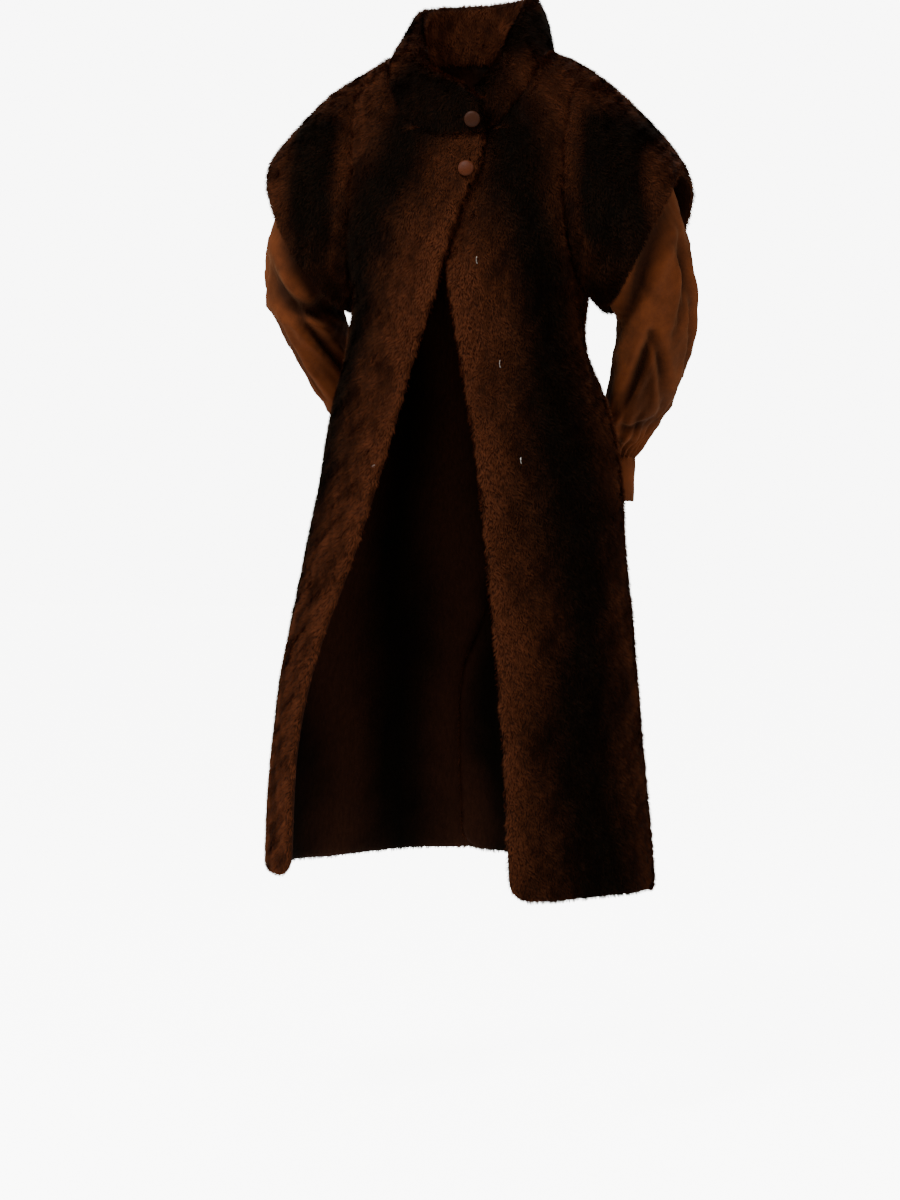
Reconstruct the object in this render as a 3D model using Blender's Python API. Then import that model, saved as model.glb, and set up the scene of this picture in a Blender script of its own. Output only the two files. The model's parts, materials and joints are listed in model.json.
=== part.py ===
"""A long faux fur coat as it is worn: fur body with cap shoulders, stand collar and suede sleeves.

Units are metres and +Z is up. The coat's front faces -Y, and the wearer's left is +X. The origin lies
between the shoulders, at the height where the neck meets them, where a wearer carries the coat.
Angles run round the body from the centre front (0 degrees) over the wearer's left (90 degrees) to the
centre back (180 degrees); the wearer's right side has negative angles.
"""

import math
from collections import namedtuple

import bmesh
import bpy
import numpy as np

# --- Driving dimensions --------------------------------------------------------------------------
FUR_THICKNESS = 0.012  # knitted backing and pile together
COLLAR_THICKNESS = 0.017  # the collar is fur on both faces
SUEDE_THICKNESS = 0.002
SEAM_GAP = 0.0003
CUT_DIRECTION = (0.31, 0.57, 0.76)
EDGE_ROUND = 0.0045  # how far a free fur edge rolls past its wall

SHOULDER_HEIGHT = -0.012  # where shoulder seam and armhole meet
UNDERARM_HEIGHT = -0.352
ARMHOLE_CURVE = 0.012  # how far the armhole seam curves towards the chest
YOKE_HEIGHT = -0.200  # above it, the rows of a panel pass over to the neckline and shoulder
HEM_START = -0.900  # below it, the rows follow the hem
HEM_HEIGHT = -1.215
CORNER_RADIUS = 0.018  # at the foot of each front edge

SIDE_FADE = 3  # how fast a panel's grid forgets the curve of its sides
MITRE_LIMIT = 1.3  # the most that a cut at the armhole may be longer than the wall is thick

LAP_DROP = FUR_THICKNESS + 0.0036  # how far an under layer lies below the layer over it
LAP_MARGIN = 0.004
LAP_EASE = 0.036
LAP_END = -0.285  # the fronts part here
LAP_FADE = 0.080
VENT_TOP = -0.840
VENT_FADE = 0.080
VENT_OVER = 0.030
VENT_UNDER = 0.045

CAP_PUFF = 0.012
CAP_CENTRE_Y = 0.036
CAP_HALF_DEPTH = 0.122
CAP_SQUARENESS = 0.85  # below 1, the free edge is fuller than an ellipse
COLLAR_BOW = 0.007
COLLAR_LAP_DROP = COLLAR_THICKNESS + 0.0026
COLLAR_START = 4  # the column of the wearer's left front where the collar's lower end stands
SLEEVE_GATHERS = 6
GATHER_DEPTH = 0.0035
CUFF_LENGTH = 0.068
CUFF_TAPER = 0.94

BUTTON_RADIUS = 0.0120
BUTTON_SIDES = 20
BUTTON_SEAT = 0.0003
HOOK_WIRE = 0.0007
WIRE_SEAT = 0.0001

# --- Tables: one row for each section, fold or opening point --------------------------------------
# Horizontal sections of the outer surface. Above the underarm they hold the upper arms too.
Section = namedtuple("Section", "height half_width half_depth centre_x centre_y")
SECTIONS = (
    Section(0.030, 0.100, 0.094, 0.000, 0.036),
    Section(0.010, 0.120, 0.101, 0.000, 0.034),
    Section(0.000, 0.144, 0.105, 0.000, 0.033),
    Section(-0.012, 0.168, 0.110, 0.000, 0.032),
    Section(-0.035, 0.192, 0.118, 0.000, 0.029),
    Section(-0.070, 0.209, 0.129, 0.000, 0.024),
    Section(-0.120, 0.221, 0.142, 0.000, 0.018),
    Section(-0.200, 0.225, 0.152, 0.000, 0.012),
    Section(-0.280, 0.211, 0.154, 0.000, 0.008),
    Section(-0.330, 0.189, 0.152, 0.000, 0.006),
    Section(-0.352, 0.176, 0.151, 0.000, 0.005),
    Section(-0.430, 0.179, 0.151, -0.007, 0.004),
    Section(-0.500, 0.204, 0.156, -0.002, 0.002),
    Section(-0.600, 0.225, 0.170, 0.002, 0.000),
    Section(-0.750, 0.244, 0.195, -0.009, 0.000),
    Section(-0.900, 0.267, 0.216, -0.019, 0.000),
    Section(-1.050, 0.284, 0.234, -0.024, 0.000),
    Section(-1.240, 0.296, 0.252, -0.022, 0.000),
)

# Where the two front edges lie. The wearer's right front laps over the left down to LAP_END.
FrontEdge = namedtuple("FrontEdge", "height right_x left_x")
FRONT_EDGES = (
    FrontEdge(0.000, 0.046, -0.020),
    FrontEdge(-0.120, 0.046, -0.014),
    FrontEdge(-0.165, 0.043, -0.010),
    FrontEdge(-0.200, 0.026, -0.007),
    FrontEdge(-0.285, -0.003, -0.003),
    FrontEdge(-0.360, -0.023, 0.007),
    FrontEdge(-0.430, -0.049, 0.020),
    FrontEdge(-0.500, -0.069, 0.033),
    FrontEdge(-0.600, -0.098, 0.054),
    FrontEdge(-0.750, -0.146, 0.074),
    FrontEdge(-0.900, -0.207, 0.091),
    FrontEdge(-1.050, -0.236, 0.105),
    FrontEdge(-1.240, -0.238, 0.113),
)

# The seam between collar and body, and the hem, by angle round the body.
Rim = namedtuple("Rim", "degrees height")
NECKLINE = (
    Rim(0, -0.126),
    Rim(12, -0.122),
    Rim(21, -0.100),
    Rim(30, -0.060),
    Rim(38, -0.028),
    Rim(46, -0.010),
    Rim(57, 0.001),
    Rim(72, 0.008),
    Rim(90, 0.010),
    Rim(135, 0.013),
    Rim(180, 0.014),
)
HEM = (
    Rim(-190, -1.200),
    Rim(-90, -1.212),
    Rim(-50, -1.205),
    Rim(0, -1.220),
    Rim(30, -1.226),
    Rim(90, -1.228),
    Rim(190, -1.200),
)

# Long soft folds of the skirt. Each swells from its start down to the hem; a trough is negative.
Fold = namedtuple("Fold", "degrees half_spread start swell")
FOLDS = (
    Fold(-155, 13, -0.42, 0.016),
    Fold(-128, 11, -0.55, -0.013),
    Fold(-104, 10, -0.45, 0.011),
    Fold(-72, 9, -0.50, -0.007),
    Fold(33, 12, -0.55, 0.007),
    Fold(60, 11, -0.45, -0.008),
    Fold(84, 10, -0.50, 0.010),
    Fold(112, 11, -0.42, -0.013),
    Fold(140, 12, -0.50, 0.015),
    Fold(180, 15, -0.60, -0.006),
)

# The free edge of each cap, as height and distance from the middle.
CapEdge = namedtuple("CapEdge", "height reach")
CAP_EDGES = {
    "left": (
        CapEdge(-0.378, 0.197),
        CapEdge(-0.362, 0.221),
        CapEdge(-0.325, 0.250),
        CapEdge(-0.285, 0.275),
        CapEdge(-0.235, 0.302),
        CapEdge(-0.195, 0.317),
        CapEdge(-0.166, 0.320),
    ),
    "right": (
        CapEdge(-0.370, 0.195),
        CapEdge(-0.346, 0.216),
        CapEdge(-0.300, 0.245),
        CapEdge(-0.250, 0.270),
        CapEdge(-0.200, 0.294),
        CapEdge(-0.170, 0.305),
        CapEdge(-0.142, 0.309),
    ),
}

# The collar's top edge by angle, from the lapping end on the wearer's right, round the back to the
# end below it, as the angle goes down from the front through -180 at the centre back.
CollarTop = namedtuple("CollarTop", "degrees x y height")
COLLAR_TOPS = (
    CollarTop(13, 0.046, -0.132, -0.078),
    CollarTop(-8, 0.010, -0.110, -0.050),
    CollarTop(-28, -0.026, -0.084, -0.030),
    CollarTop(-52, -0.056, -0.050, -0.008),
    CollarTop(-75, -0.082, -0.006, 0.050),
    CollarTop(-100, -0.092, 0.045, 0.082),
    CollarTop(-140, -0.066, 0.104, 0.094),
    CollarTop(-180, 0.000, 0.128, 0.098),
    CollarTop(-220, 0.066, 0.104, 0.100),
    CollarTop(-260, 0.093, 0.045, 0.100),
    CollarTop(-285, 0.086, 0.000, 0.078),
    CollarTop(-308, 0.066, -0.044, 0.026),
    CollarTop(-330, 0.044, -0.084, -0.026),
    CollarTop(-350, 0.020, -0.112, -0.056),
    CollarTop(-364, -0.004, -0.116, -0.064),
)

# Rings of a sleeve below its cap: outer and inner point, middle, and reach to the front.
ArmRing = namedtuple("ArmRing", "out_x out_z in_x in_z y half_front front_z gather")
ARM_RINGS = {
    "left": (
        ArmRing(0.314, -0.238, 0.2125, -0.374, 0.034, 0.080, -0.008, 0.0),
        ArmRing(0.327, -0.290, 0.2125, -0.388, 0.038, 0.079, -0.014, 0.0),
        ArmRing(0.333, -0.342, 0.2110, -0.406, 0.052, 0.079, -0.020, 0.0),
        ArmRing(0.330, -0.392, 0.2060, -0.430, 0.078, 0.077, -0.026, 0.0),
        ArmRing(0.317, -0.444, 0.1960, -0.460, 0.098, 0.072, -0.034, 0.2),
        ArmRing(0.294, -0.490, 0.1840, -0.494, 0.122, 0.065, -0.036, 0.6),
        ArmRing(0.264, -0.530, 0.1680, -0.530, 0.146, 0.058, -0.028, 1.0),
        ArmRing(0.242, -0.557, 0.1560, -0.559, 0.163, 0.049, -0.012, 1.0),
        ArmRing(0.228, -0.577, 0.1520, -0.578, 0.173, 0.041, -0.003, 0.7),
        ArmRing(0.219, -0.590, 0.1530, -0.590, 0.176, 0.033, 0.000, 0.0),
    ),
    "right": (
        ArmRing(0.320, -0.240, 0.2100, -0.366, 0.035, 0.081, -0.008, 0.0),
        ArmRing(0.331, -0.292, 0.2105, -0.380, 0.042, 0.080, -0.014, 0.0),
        ArmRing(0.330, -0.342, 0.2085, -0.398, 0.056, 0.080, -0.020, 0.0),
        ArmRing(0.315, -0.394, 0.2040, -0.422, 0.080, 0.077, -0.026, 0.0),
        ArmRing(0.291, -0.444, 0.1960, -0.452, 0.102, 0.072, -0.034, 0.2),
        ArmRing(0.262, -0.488, 0.1820, -0.488, 0.126, 0.065, -0.036, 0.6),
        ArmRing(0.239, -0.526, 0.1640, -0.526, 0.149, 0.056, -0.028, 1.0),
        ArmRing(0.222, -0.554, 0.1520, -0.555, 0.165, 0.047, -0.012, 1.0),
        ArmRing(0.212, -0.575, 0.1480, -0.575, 0.174, 0.040, -0.003, 0.7),
        ArmRing(0.206, -0.588, 0.1480, -0.588, 0.177, 0.033, 0.000, 0.0),
    ),
}

# The upper button lies on the collar, which stands proud of the front and turns in at its seam.
Button = namedtuple("Button", "height inset proud nod")
BUTTONS = (Button(-0.110, 0.0120, 0.0137, -0.45), Button(-0.177, 0.0120, 0.0, 0.0))
ButtonRing = namedtuple("ButtonRing", "radius_share rise")
BUTTON_PROFILE = (
    ButtonRing(0.90, 0.0000),
    ButtonRing(1.00, 0.0012),
    ButtonRing(0.97, 0.0034),
    ButtonRing(0.72, 0.0050),
    ButtonRing(0.34, 0.0057),
)

# Fur eyes and a hook of wire: height, and distance in from the front edge.
Fastener = namedtuple("Fastener", "name side height inset tall wide")
FASTENERS = (
    Fastener("eye_top", "left", -0.310, 0.046, 0.0100, 0.0034),
    Fastener("eye_middle", "left", -0.460, 0.052, 0.0110, 0.0034),
    Fastener("eye_low", "left", -0.600, 0.058, 0.0090, 0.0030),
    Fastener("hook", "right", -0.608, 0.004, 0.0034, 0.0110),
)

# Heights of the grid rows at the armhole and below it, and places of the columns, from 0 to 1.
YOKE_ROWS = (-0.012, -0.017, -0.030, -0.050, -0.076, -0.108, -0.142, -0.172, -0.200)
UNDERARM_ROWS = (-0.235, -0.268, -0.298, -0.322, -0.341, -0.352)
SKIRT_ROWS = (
    -0.372, -0.402, -0.440, -0.485, -0.540, -0.605, -0.680, -0.760,
    -0.840, -0.900, -0.950, -1.020, -1.090, -1.150, -1.195, -1.215,
)  # fmt: skip
FRONT_COLUMNS = (0.0, 0.03, 0.09, 0.16, 0.24, 0.32, 0.41, 0.50, 0.60, 0.70, 0.85, 1.0)
FRONT_NECK = 0.70  # share of a front's top that is neckline; the rest is the shoulder seam
NECK_POWER = 2.6  # the columns of a front crowd towards its edge along the neckline
YOKE_POWER = 0.65  # and towards the armhole along the yoke's foot
BACK_COLUMNS = (0.0, 0.12, 0.25, 0.38, 0.51, 0.63, 0.74, 0.84, 0.92, 0.97, 1.0)
BACK_SHOULDER = 0.25  # share of half the back's top that is the shoulder seam
CAP_ROWS = (0.0, 0.12, 0.34, 0.58, 0.82, 1.0)
SLEEVE_HEAD = 2  # the row of the cap where the sleeve is sewn in
SLEEVE_EASE = (0.0, 0.003, 0.006)  # how far the sleeve hangs off the cap's inner face
COLLAR_ROWS = (0.0, 0.14, 0.42, 0.72, 1.0)

Finish = namedtuple("Finish", "name colour roughness metallic")
FUR_FINISH = Finish("rust_brown_fur", (0.105, 0.034, 0.014, 1.0), 0.85, 0.0)
SUEDE_FINISH = Finish("tan_suede", (0.180, 0.068, 0.024, 1.0), 0.90, 0.0)
BUTTON_FINISH = Finish("copper_leather", (0.340, 0.130, 0.075, 1.0), 0.45, 0.0)
WIRE_FINISH = Finish("steel_wire", (0.600, 0.600, 0.590, 1.0), 0.30, 1.0)


# --- Reading the tables ---------------------------------------------------------------------------
def ease(share):
    """0 to 1 with level ends, for a share from 0 to 1."""
    share = min(max(share, 0.0), 1.0)
    return share * share * (3.0 - 2.0 * share)


def read(table, column, at):
    """A column of a table at a place along its first column, on a smooth curve with no overshoot."""
    rows = sorted(table)
    places = [row[0] for row in rows]
    values = [getattr(row, column) for row in rows]
    if at <= places[0]:
        return values[0]
    if at >= places[-1]:
        return values[-1]
    slopes = [
        (values[i + 1] - values[i]) / (places[i + 1] - places[i]) for i in range(len(rows) - 1)
    ]

    def tangent(i):
        if i in (0, len(rows) - 1):
            return slopes[min(i, len(slopes) - 1)]
        before, after = slopes[i - 1], slopes[i]
        return 0.0 if before * after <= 0 else 2.0 * before * after / (before + after)

    i = max(k for k, place in enumerate(places) if place <= at)
    span = places[i + 1] - places[i]
    t = (at - places[i]) / span
    start = (1 + 2 * t) * (1 - t) ** 2 * values[i] + t * (1 - t) ** 2 * span * tangent(i)
    end = t * t * (3 - 2 * t) * values[i + 1] + t * t * (t - 1) * span * tangent(i + 1)
    return start + end


def unit(vector):
    return vector / np.linalg.norm(vector)


# --- The surface of the body ----------------------------------------------------------------------
def fold_swell(angle, height):
    """How far the skirt's folds stand out from the plain section."""
    swell = 0.0
    for fold in FOLDS:
        away = (math.degrees(angle) - fold.degrees + 180.0) % 360.0 - 180.0
        growth = ease((fold.start - height) / (fold.start - HEM_HEIGHT))
        swell += fold.swell * growth * math.exp(-((away / fold.half_spread) ** 2))
    return swell


def section_point(angle, height, out=0.0):
    """A point of the plain section at a height, moved out by the swell of the folds."""
    across = (read(SECTIONS, "half_width", height) + out) * math.sin(angle)
    forward = (read(SECTIONS, "half_depth", height) + out) * math.cos(angle)
    centre_x = read(SECTIONS, "centre_x", height)
    centre_y = read(SECTIONS, "centre_y", height)
    return np.array((centre_x + across, centre_y - forward, height))


def body_point(angle, height):
    """A point of the body's outer surface, folds included."""
    return section_point(angle, height, fold_swell(angle, height))


def body_normal(angle, height):
    """The outward direction of the plain section, which is the way that every wall is thick."""
    step = 0.004
    round_body = section_point(angle + step, height) - section_point(angle - step, height)
    upward = section_point(angle, height + step) - section_point(angle, height - step)
    return unit(np.cross(round_body, upward))


def edge_angle(side, height):
    """The angle of one front edge at a height."""
    x = read(FRONT_EDGES, side + "_x", height) - read(SECTIONS, "centre_x", height)
    return math.asin(x / read(SECTIONS, "half_width", height))


def armhole_angle(height):
    """The angle of the armhole seam, or of the shoulder or side seam above and below it."""
    if not UNDERARM_HEIGHT < height < SHOULDER_HEIGHT:
        return math.pi / 2
    down = (SHOULDER_HEIGHT - height) / (SHOULDER_HEIGHT - UNDERARM_HEIGHT)
    top = read(SECTIONS, "half_width", SHOULDER_HEIGHT)
    bottom = read(SECTIONS, "half_width", UNDERARM_HEIGHT)
    reach = top + (bottom - top) * down - ARMHOLE_CURVE * math.sin(math.pi * down)
    return math.asin(min(1.0, reach / read(SECTIONS, "half_width", height)))


def lap_share(x, over_edge):
    """1 for a place that the layer over it covers, easing to 0 beyond that layer's edge."""
    return ease((over_edge + EDGE_ROUND + LAP_MARGIN + LAP_EASE - x) / LAP_EASE)


def front_lap(x, height):
    """The share of the full drop of the wearer's left front, under the right one."""
    over_edge = read(FRONT_EDGES, "right_x", height)
    return lap_share(x, over_edge) * ease((height - LAP_END + LAP_FADE) / LAP_FADE)


def vent_lap(x, height):
    """The share of the full drop of the back's left half, under the right half."""
    over_edge = read(SECTIONS, "centre_x", height) + VENT_OVER
    return lap_share(x, over_edge) * ease((VENT_TOP + VENT_FADE - height) / VENT_FADE)


def no_lap(x, height):
    return 0.0


# --- Making walls ---------------------------------------------------------------------------------
def link_mesh(name, vertices, faces, material):
    """Adds a closed mesh object whose faces point out."""
    mesh = bpy.data.meshes.new(name)
    mesh.from_pydata([tuple(v) for v in vertices], [], faces)
    shell = bmesh.new()
    shell.from_mesh(mesh)
    bmesh.ops.recalc_face_normals(shell, faces=shell.faces)
    shell.to_mesh(mesh)
    shell.free()
    mesh.shade_smooth()
    mesh.set_sharp_from_angle(angle=math.radians(50))
    mesh.materials.append(material)
    made = bpy.data.objects.new(name, mesh)
    bpy.context.scene.collection.objects.link(made)
    return made


def rim_cells(rows, columns, closed):
    """The loops of border cells of a grid, each cell with the sides it lies on."""
    if closed:
        return [
            [(0, c, ("top",)) for c in range(columns)],
            [(rows - 1, c, ("bottom",)) for c in range(columns)],
        ]
    loop = [(0, c) for c in range(columns)]
    loop += [(r, columns - 1) for r in range(1, rows)]
    loop += [(rows - 1, c) for c in range(columns - 2, -1, -1)]
    loop += [(r, 0) for r in range(rows - 2, 0, -1)]

    def sides(r, c):
        found = (("top", r == 0), ("bottom", r == rows - 1), ("start", c == 0), ("end", c == columns - 1))
        return tuple(name for name, lies_on in found if lies_on)

    return [[(r, c, sides(r, c)) for r, c in loop]]


def halves(quad, vertices):
    """The two triangles of a quad, cut from its furthest corner, so that both faces of a seam match."""
    reach = [float(np.dot(vertices[k], CUT_DIRECTION)) for k in quad]
    first = reach.index(max(reach))
    a, b, c, d = quad[first:] + quad[:first]
    return [[a, b, c], [a, c, d]]


def wall(name, outer, inner, material, rounded=(), closed=False):
    """A cloth wall between two grids of points. Its rounded sides roll out; the others are cut flat."""
    rows, columns = outer.shape[:2]
    vertices = [*outer.reshape(-1, 3), *inner.reshape(-1, 3)]
    inside = rows * columns
    quads = []
    for r in range(rows - 1):
        for c in range(columns if closed else columns - 1):
            d = (c + 1) % columns
            quad = [r * columns + c, r * columns + d, (r + 1) * columns + d, (r + 1) * columns + c]
            quads.append(quad)
            quads.append([inside + k for k in reversed(quad)])
    step_in = {"top": (1, 0), "bottom": (-1, 0), "start": (0, 1), "end": (0, -1)}
    for loop in rim_cells(rows, columns, closed):
        first = len(vertices)
        for r, c, sides in loop:
            middle = (outer[r, c] + inner[r, c]) / 2
            for side in sides:
                if side in rounded and ("top" in rounded or "top" not in sides):
                    down, along = step_in[side]
                    near = (outer[r + down, c + along] + inner[r + down, c + along]) / 2
                    middle = middle + EDGE_ROUND * unit((outer[r, c] + inner[r, c]) / 2 - near)
            vertices.append(middle)
        for k, (r, c, _) in enumerate(loop):
            m = (k + 1) % len(loop)
            s, d = loop[m][:2]
            here, there = r * columns + c, s * columns + d
            quads.append([here, there, first + m, first + k])
            quads.append([first + k, first + m, inside + there, inside + here])
    faces = [half for quad in quads for half in halves(quad, vertices)]
    return link_mesh(name, vertices, faces, material)


def grid_normals(grid, closed):
    """Unit normals of a grid of points round a hollow, pointing away from the middle of each row."""
    if closed:
        along = np.roll(grid, -1, axis=1) - np.roll(grid, 1, axis=1)
    else:
        along = np.gradient(grid, axis=1)
    normals = np.cross(along, np.gradient(grid, axis=0))
    normals /= np.linalg.norm(normals, axis=2, keepdims=True)
    outward = grid - grid.mean(axis=1, keepdims=True)
    return normals if (normals * outward).sum() > 0 else -normals


# --- Fronts and back ------------------------------------------------------------------------------
def hem_shift(angle, height, from_edge):
    """How far a low row moves up or down to follow the hem and the rounded front corner."""
    share = ease((HEM_START - height) / (HEM_START - HEM_HEIGHT))
    target = read(HEM, "height", math.degrees(angle)) - HEM_HEIGHT
    short = max(0.0, CORNER_RADIUS - from_edge)
    lift = CORNER_RADIUS - math.sqrt(CORNER_RADIUS**2 - short**2)
    return share * target + share**6 * lift


def seam_angle(height):
    """The armhole angle, or half a seam gap to the front of the shoulder and side seam."""
    angle = armhole_angle(height)
    if angle < math.pi / 2:
        return angle
    return angle - SEAM_GAP / 2 / read(SECTIONS, "half_depth", height)


def front_row(side, level):
    """The (angle, height) places along a front's row, from its front edge to armhole or side seam."""
    way = 1 if side == "left" else -1
    edge = edge_angle(side, level)
    seam = way * seam_angle(level)
    row = []
    spread = ease((YOKE_HEIGHT - level) / (YOKE_HEIGHT - UNDERARM_HEIGHT))
    power = YOKE_POWER + (1.0 - YOKE_POWER) * spread
    for u in FRONT_COLUMNS:
        angle = edge + (seam - edge) * u**power
        from_edge = abs(angle - edge) * read(SECTIONS, "half_depth", level)
        row.append((angle, level + hem_shift(angle, level, from_edge)))
    return row


def back_row(side, level):
    """The (angle, height) places along a row of half the back, from armhole or side seam to the middle."""
    way = 1 if side == "left" else -1
    half_width = read(SECTIONS, "half_width", level)
    past_middle = -SEAM_GAP / 2
    if level < VENT_TOP:
        lap = VENT_OVER if side == "right" else VENT_UNDER
        past_middle += lap * ease((VENT_TOP - level) / VENT_FADE)
    seam = math.pi - seam_angle(level)
    middle = math.pi + past_middle / half_width
    row = []
    for u in BACK_COLUMNS:
        angle = seam + (middle - seam) * u
        from_edge = (1.0 - u) * (middle - seam) * half_width if level < VENT_TOP else 1.0
        row.append((way * angle, level + hem_shift(way * angle, level, from_edge)))
    return row


def neck_height(angle):
    return read(NECKLINE, "height", abs(math.degrees(angle)))


def front_top(side):
    """The places along a front's neckline and then its shoulder seam."""
    way = 1 if side == "left" else -1
    edge = edge_angle(side, neck_height(0.2))
    places = []
    for u in FRONT_COLUMNS:
        along_neck = min(1.0, u / FRONT_NECK) ** NECK_POWER
        down_shoulder = max(0.0, (u - FRONT_NECK) / (1.0 - FRONT_NECK))
        side_height = neck_height(math.pi / 2) * (1.0 - down_shoulder) + SHOULDER_HEIGHT * down_shoulder
        angle = edge + (way * seam_angle(side_height) - edge) * along_neck
        places.append((angle, side_height if down_shoulder > 0 else neck_height(angle)))
    return places


def back_top(side):
    """The places up the shoulder seam of half the back and then along its neckline."""
    way = 1 if side == "left" else -1
    places = []
    for u in BACK_COLUMNS:
        up_shoulder = min(1.0, u / BACK_SHOULDER)
        along_neck = max(0.0, (u - BACK_SHOULDER) / (1.0 - BACK_SHOULDER))
        side_height = SHOULDER_HEIGHT * (1.0 - up_shoulder) + neck_height(math.pi / 2) * up_shoulder
        seam = math.pi - seam_angle(side_height)
        middle = math.pi - SEAM_GAP / 2 / read(SECTIONS, "half_width", neck_height(math.pi))
        angle = seam + (middle - seam) * along_neck
        places.append((way * angle, neck_height(angle) if along_neck > 0 else side_height))
    return places


def crest_height(x):
    """The height of the shoulder line at a distance from the middle."""
    low, high = YOKE_HEIGHT, SECTIONS[0].height
    if abs(x) <= read(SECTIONS, "half_width", high):
        return high
    for _ in range(48):
        middle = (low + high) / 2
        wider = read(SECTIONS, "half_width", middle) > abs(x)
        low, high = (middle, high) if wider else (low, middle)
    return low


def to_crest(angle, height, way):
    """(x, run) of a place: run is 0 on the shoulder line and 1 at the yoke's foot."""
    x = way * read(SECTIONS, "half_width", height) * math.sin(angle)
    crest = crest_height(x)
    return x, math.sqrt(max(0.0, crest - height) / (crest - YOKE_HEIGHT))


def from_crest(x, run, way, front):
    """The (angle, height) place of an (x, run) pair."""
    crest = crest_height(x)
    height = crest + (YOKE_HEIGHT - crest) * run * run
    angle = math.asin(max(-1.0, min(1.0, x / read(SECTIONS, "half_width", height))))
    return way * (angle if front else math.pi - angle), height


def yoke_places(borders, across, way, front):
    """The places above the yoke's foot, filled in between borders (top, bottom, start, end)."""
    top, bottom, start, end = (
        np.array([to_crest(angle, height, way) for angle, height in border]) for border in borders
    )
    down = end[:, 1] if front else start[:, 1]
    u = np.array(across)[None, :, None]
    v = down[:, None, None]
    start_curve = start[:, None] - (1 - v) * start[0] - v * start[-1]
    end_curve = end[:, None] - (1 - v) * end[0] - v * end[-1]
    curves = start_curve * (1 - u) ** SIDE_FADE + end_curve * u**SIDE_FADE
    pairs = (1 - v) * top[None] + v * bottom[None] + curves
    places = [[from_crest(x, run, way, front) for x, run in row] for row in pairs]
    places[0] = list(borders[0])
    for row, first, last in zip(places, borders[2], borders[3]):
        row[0], row[-1] = first, last
    return places[:-1]


def build_panel(name, cuts, lap, material, rounded):
    """One of the four body panels, as (outer, inner) grids; cuts are the armhole's, top to bottom."""
    part, side = name.split("_")
    way = 1 if side == "left" else -1
    front = part == "front"
    columns = FRONT_COLUMNS if front else BACK_COLUMNS
    make_row = front_row if front else back_row
    top = front_top(side) if front else back_top(side)
    free_top = top[0] if front else top[-1]
    rows = [make_row(side, level) for level in (YOKE_HEIGHT, *UNDERARM_ROWS, *SKIRT_ROWS)]
    armhole = []
    free = []
    for level in YOKE_ROWS:
        seam = seam_angle(level)
        armhole.append((way * (seam if front else math.pi - seam), level))
        down = to_crest(*armhole[-1], way)[1]
        height = free_top[1] + (YOKE_HEIGHT - free_top[1]) * down
        middle = math.pi - SEAM_GAP / 2 / read(SECTIONS, "half_width", height)
        free.append((edge_angle(side, height) if front else way * middle, height))
    start, end = (free, armhole) if front else (armhole, free)
    places = yoke_places((top, rows[0], start, end), columns, way, front) + rows
    outer = np.array([[body_point(angle, height) for angle, height in row] for row in places])
    normals = np.array([[body_normal(angle, height) for angle, height in row] for row in places])
    for place in np.ndindex(outer.shape[:2]):
        outer[place] -= LAP_DROP * lap(outer[place][0], outer[place][2]) * normals[place]
    inner = outer - FUR_THICKNESS * normals
    seam_column = -1 if front else 0
    for row, cut in enumerate(cuts):
        inner[row, seam_column] = outer[row, seam_column] - cut
    wall(name, outer, inner, material, rounded)
    return outer, inner


def build_body(material, cuts):
    """The four panels; cuts holds the cut of each armhole, down its front and up its back."""
    panels = {}
    for side in ("left", "right"):
        rows = len(YOKE_ROWS) + len(UNDERARM_ROWS)
        front_cuts = [cuts[side][k] for k in range(rows)]
        back_cuts = [cuts[side][-k] for k in range(rows)]
        front_drop = front_lap if side == "left" else no_lap
        back_drop = vent_lap if side == "left" else no_lap
        name = "front_" + side
        panels[name] = build_panel(name, front_cuts, front_drop, material, ("start", "bottom"))
        name = "back_" + side
        panels[name] = build_panel(name, back_cuts, back_drop, material, ("bottom",))
    return panels


# --- Caps and sleeves -----------------------------------------------------------------------------
def armhole_loop():
    """(angle, height) round the wearer's left armhole: down its front, and up its back."""
    front = [(armhole_angle(level), level) for level in (*YOKE_ROWS, *UNDERARM_ROWS)]
    back = [(math.pi - angle, level) for angle, level in reversed(front[1:-1])]
    return front + back


def mitre(first, second):
    """The way to cut a wall where two surfaces meet, as a multiple of the wall's thickness."""
    middle = unit(first + second)
    return middle * min(MITRE_LIMIT, 1.0 / max(0.1, middle.dot(first)))


def cap_grid(side):
    """The outer points of a cap and its thickness at each, as if on the wearer's left."""
    loop = armhole_loop()
    edge_table = CAP_EDGES[side]
    tip, foot = edge_table[-1].height, edge_table[0].height
    grid = np.zeros((len(CAP_ROWS), len(loop), 3))
    for c, (angle, level) in enumerate(loop):
        turn = 2.0 * math.pi * c / len(loop)
        seam = body_point(angle, level) + np.array((SEAM_GAP, 0.0, 0.0))
        height = tip + (foot - tip) * (1.0 - math.cos(turn)) / 2.0
        bulge = math.copysign(abs(math.sin(turn)) ** CAP_SQUARENESS, math.sin(turn))
        depth = CAP_CENTRE_Y - CAP_HALF_DEPTH * bulge
        free = np.array((read(edge_table, "reach", height), depth, height))
        out = unit(np.array((math.cos(turn) * 0.5, -math.sin(turn), math.cos(turn))))
        swell = CAP_PUFF * (1.0 - ease(-math.cos(turn)))
        for r, v in enumerate(CAP_ROWS):
            grid[r, c] = seam + (free - seam) * v + swell * 4.0 * v * (1.0 - v) * out
    normals = grid_normals(grid, True)
    for c, (angle, level) in enumerate(loop):
        normals[0, c] = mitre(body_normal(angle, level), normals[0, c])
    return grid, FUR_THICKNESS * normals


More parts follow.
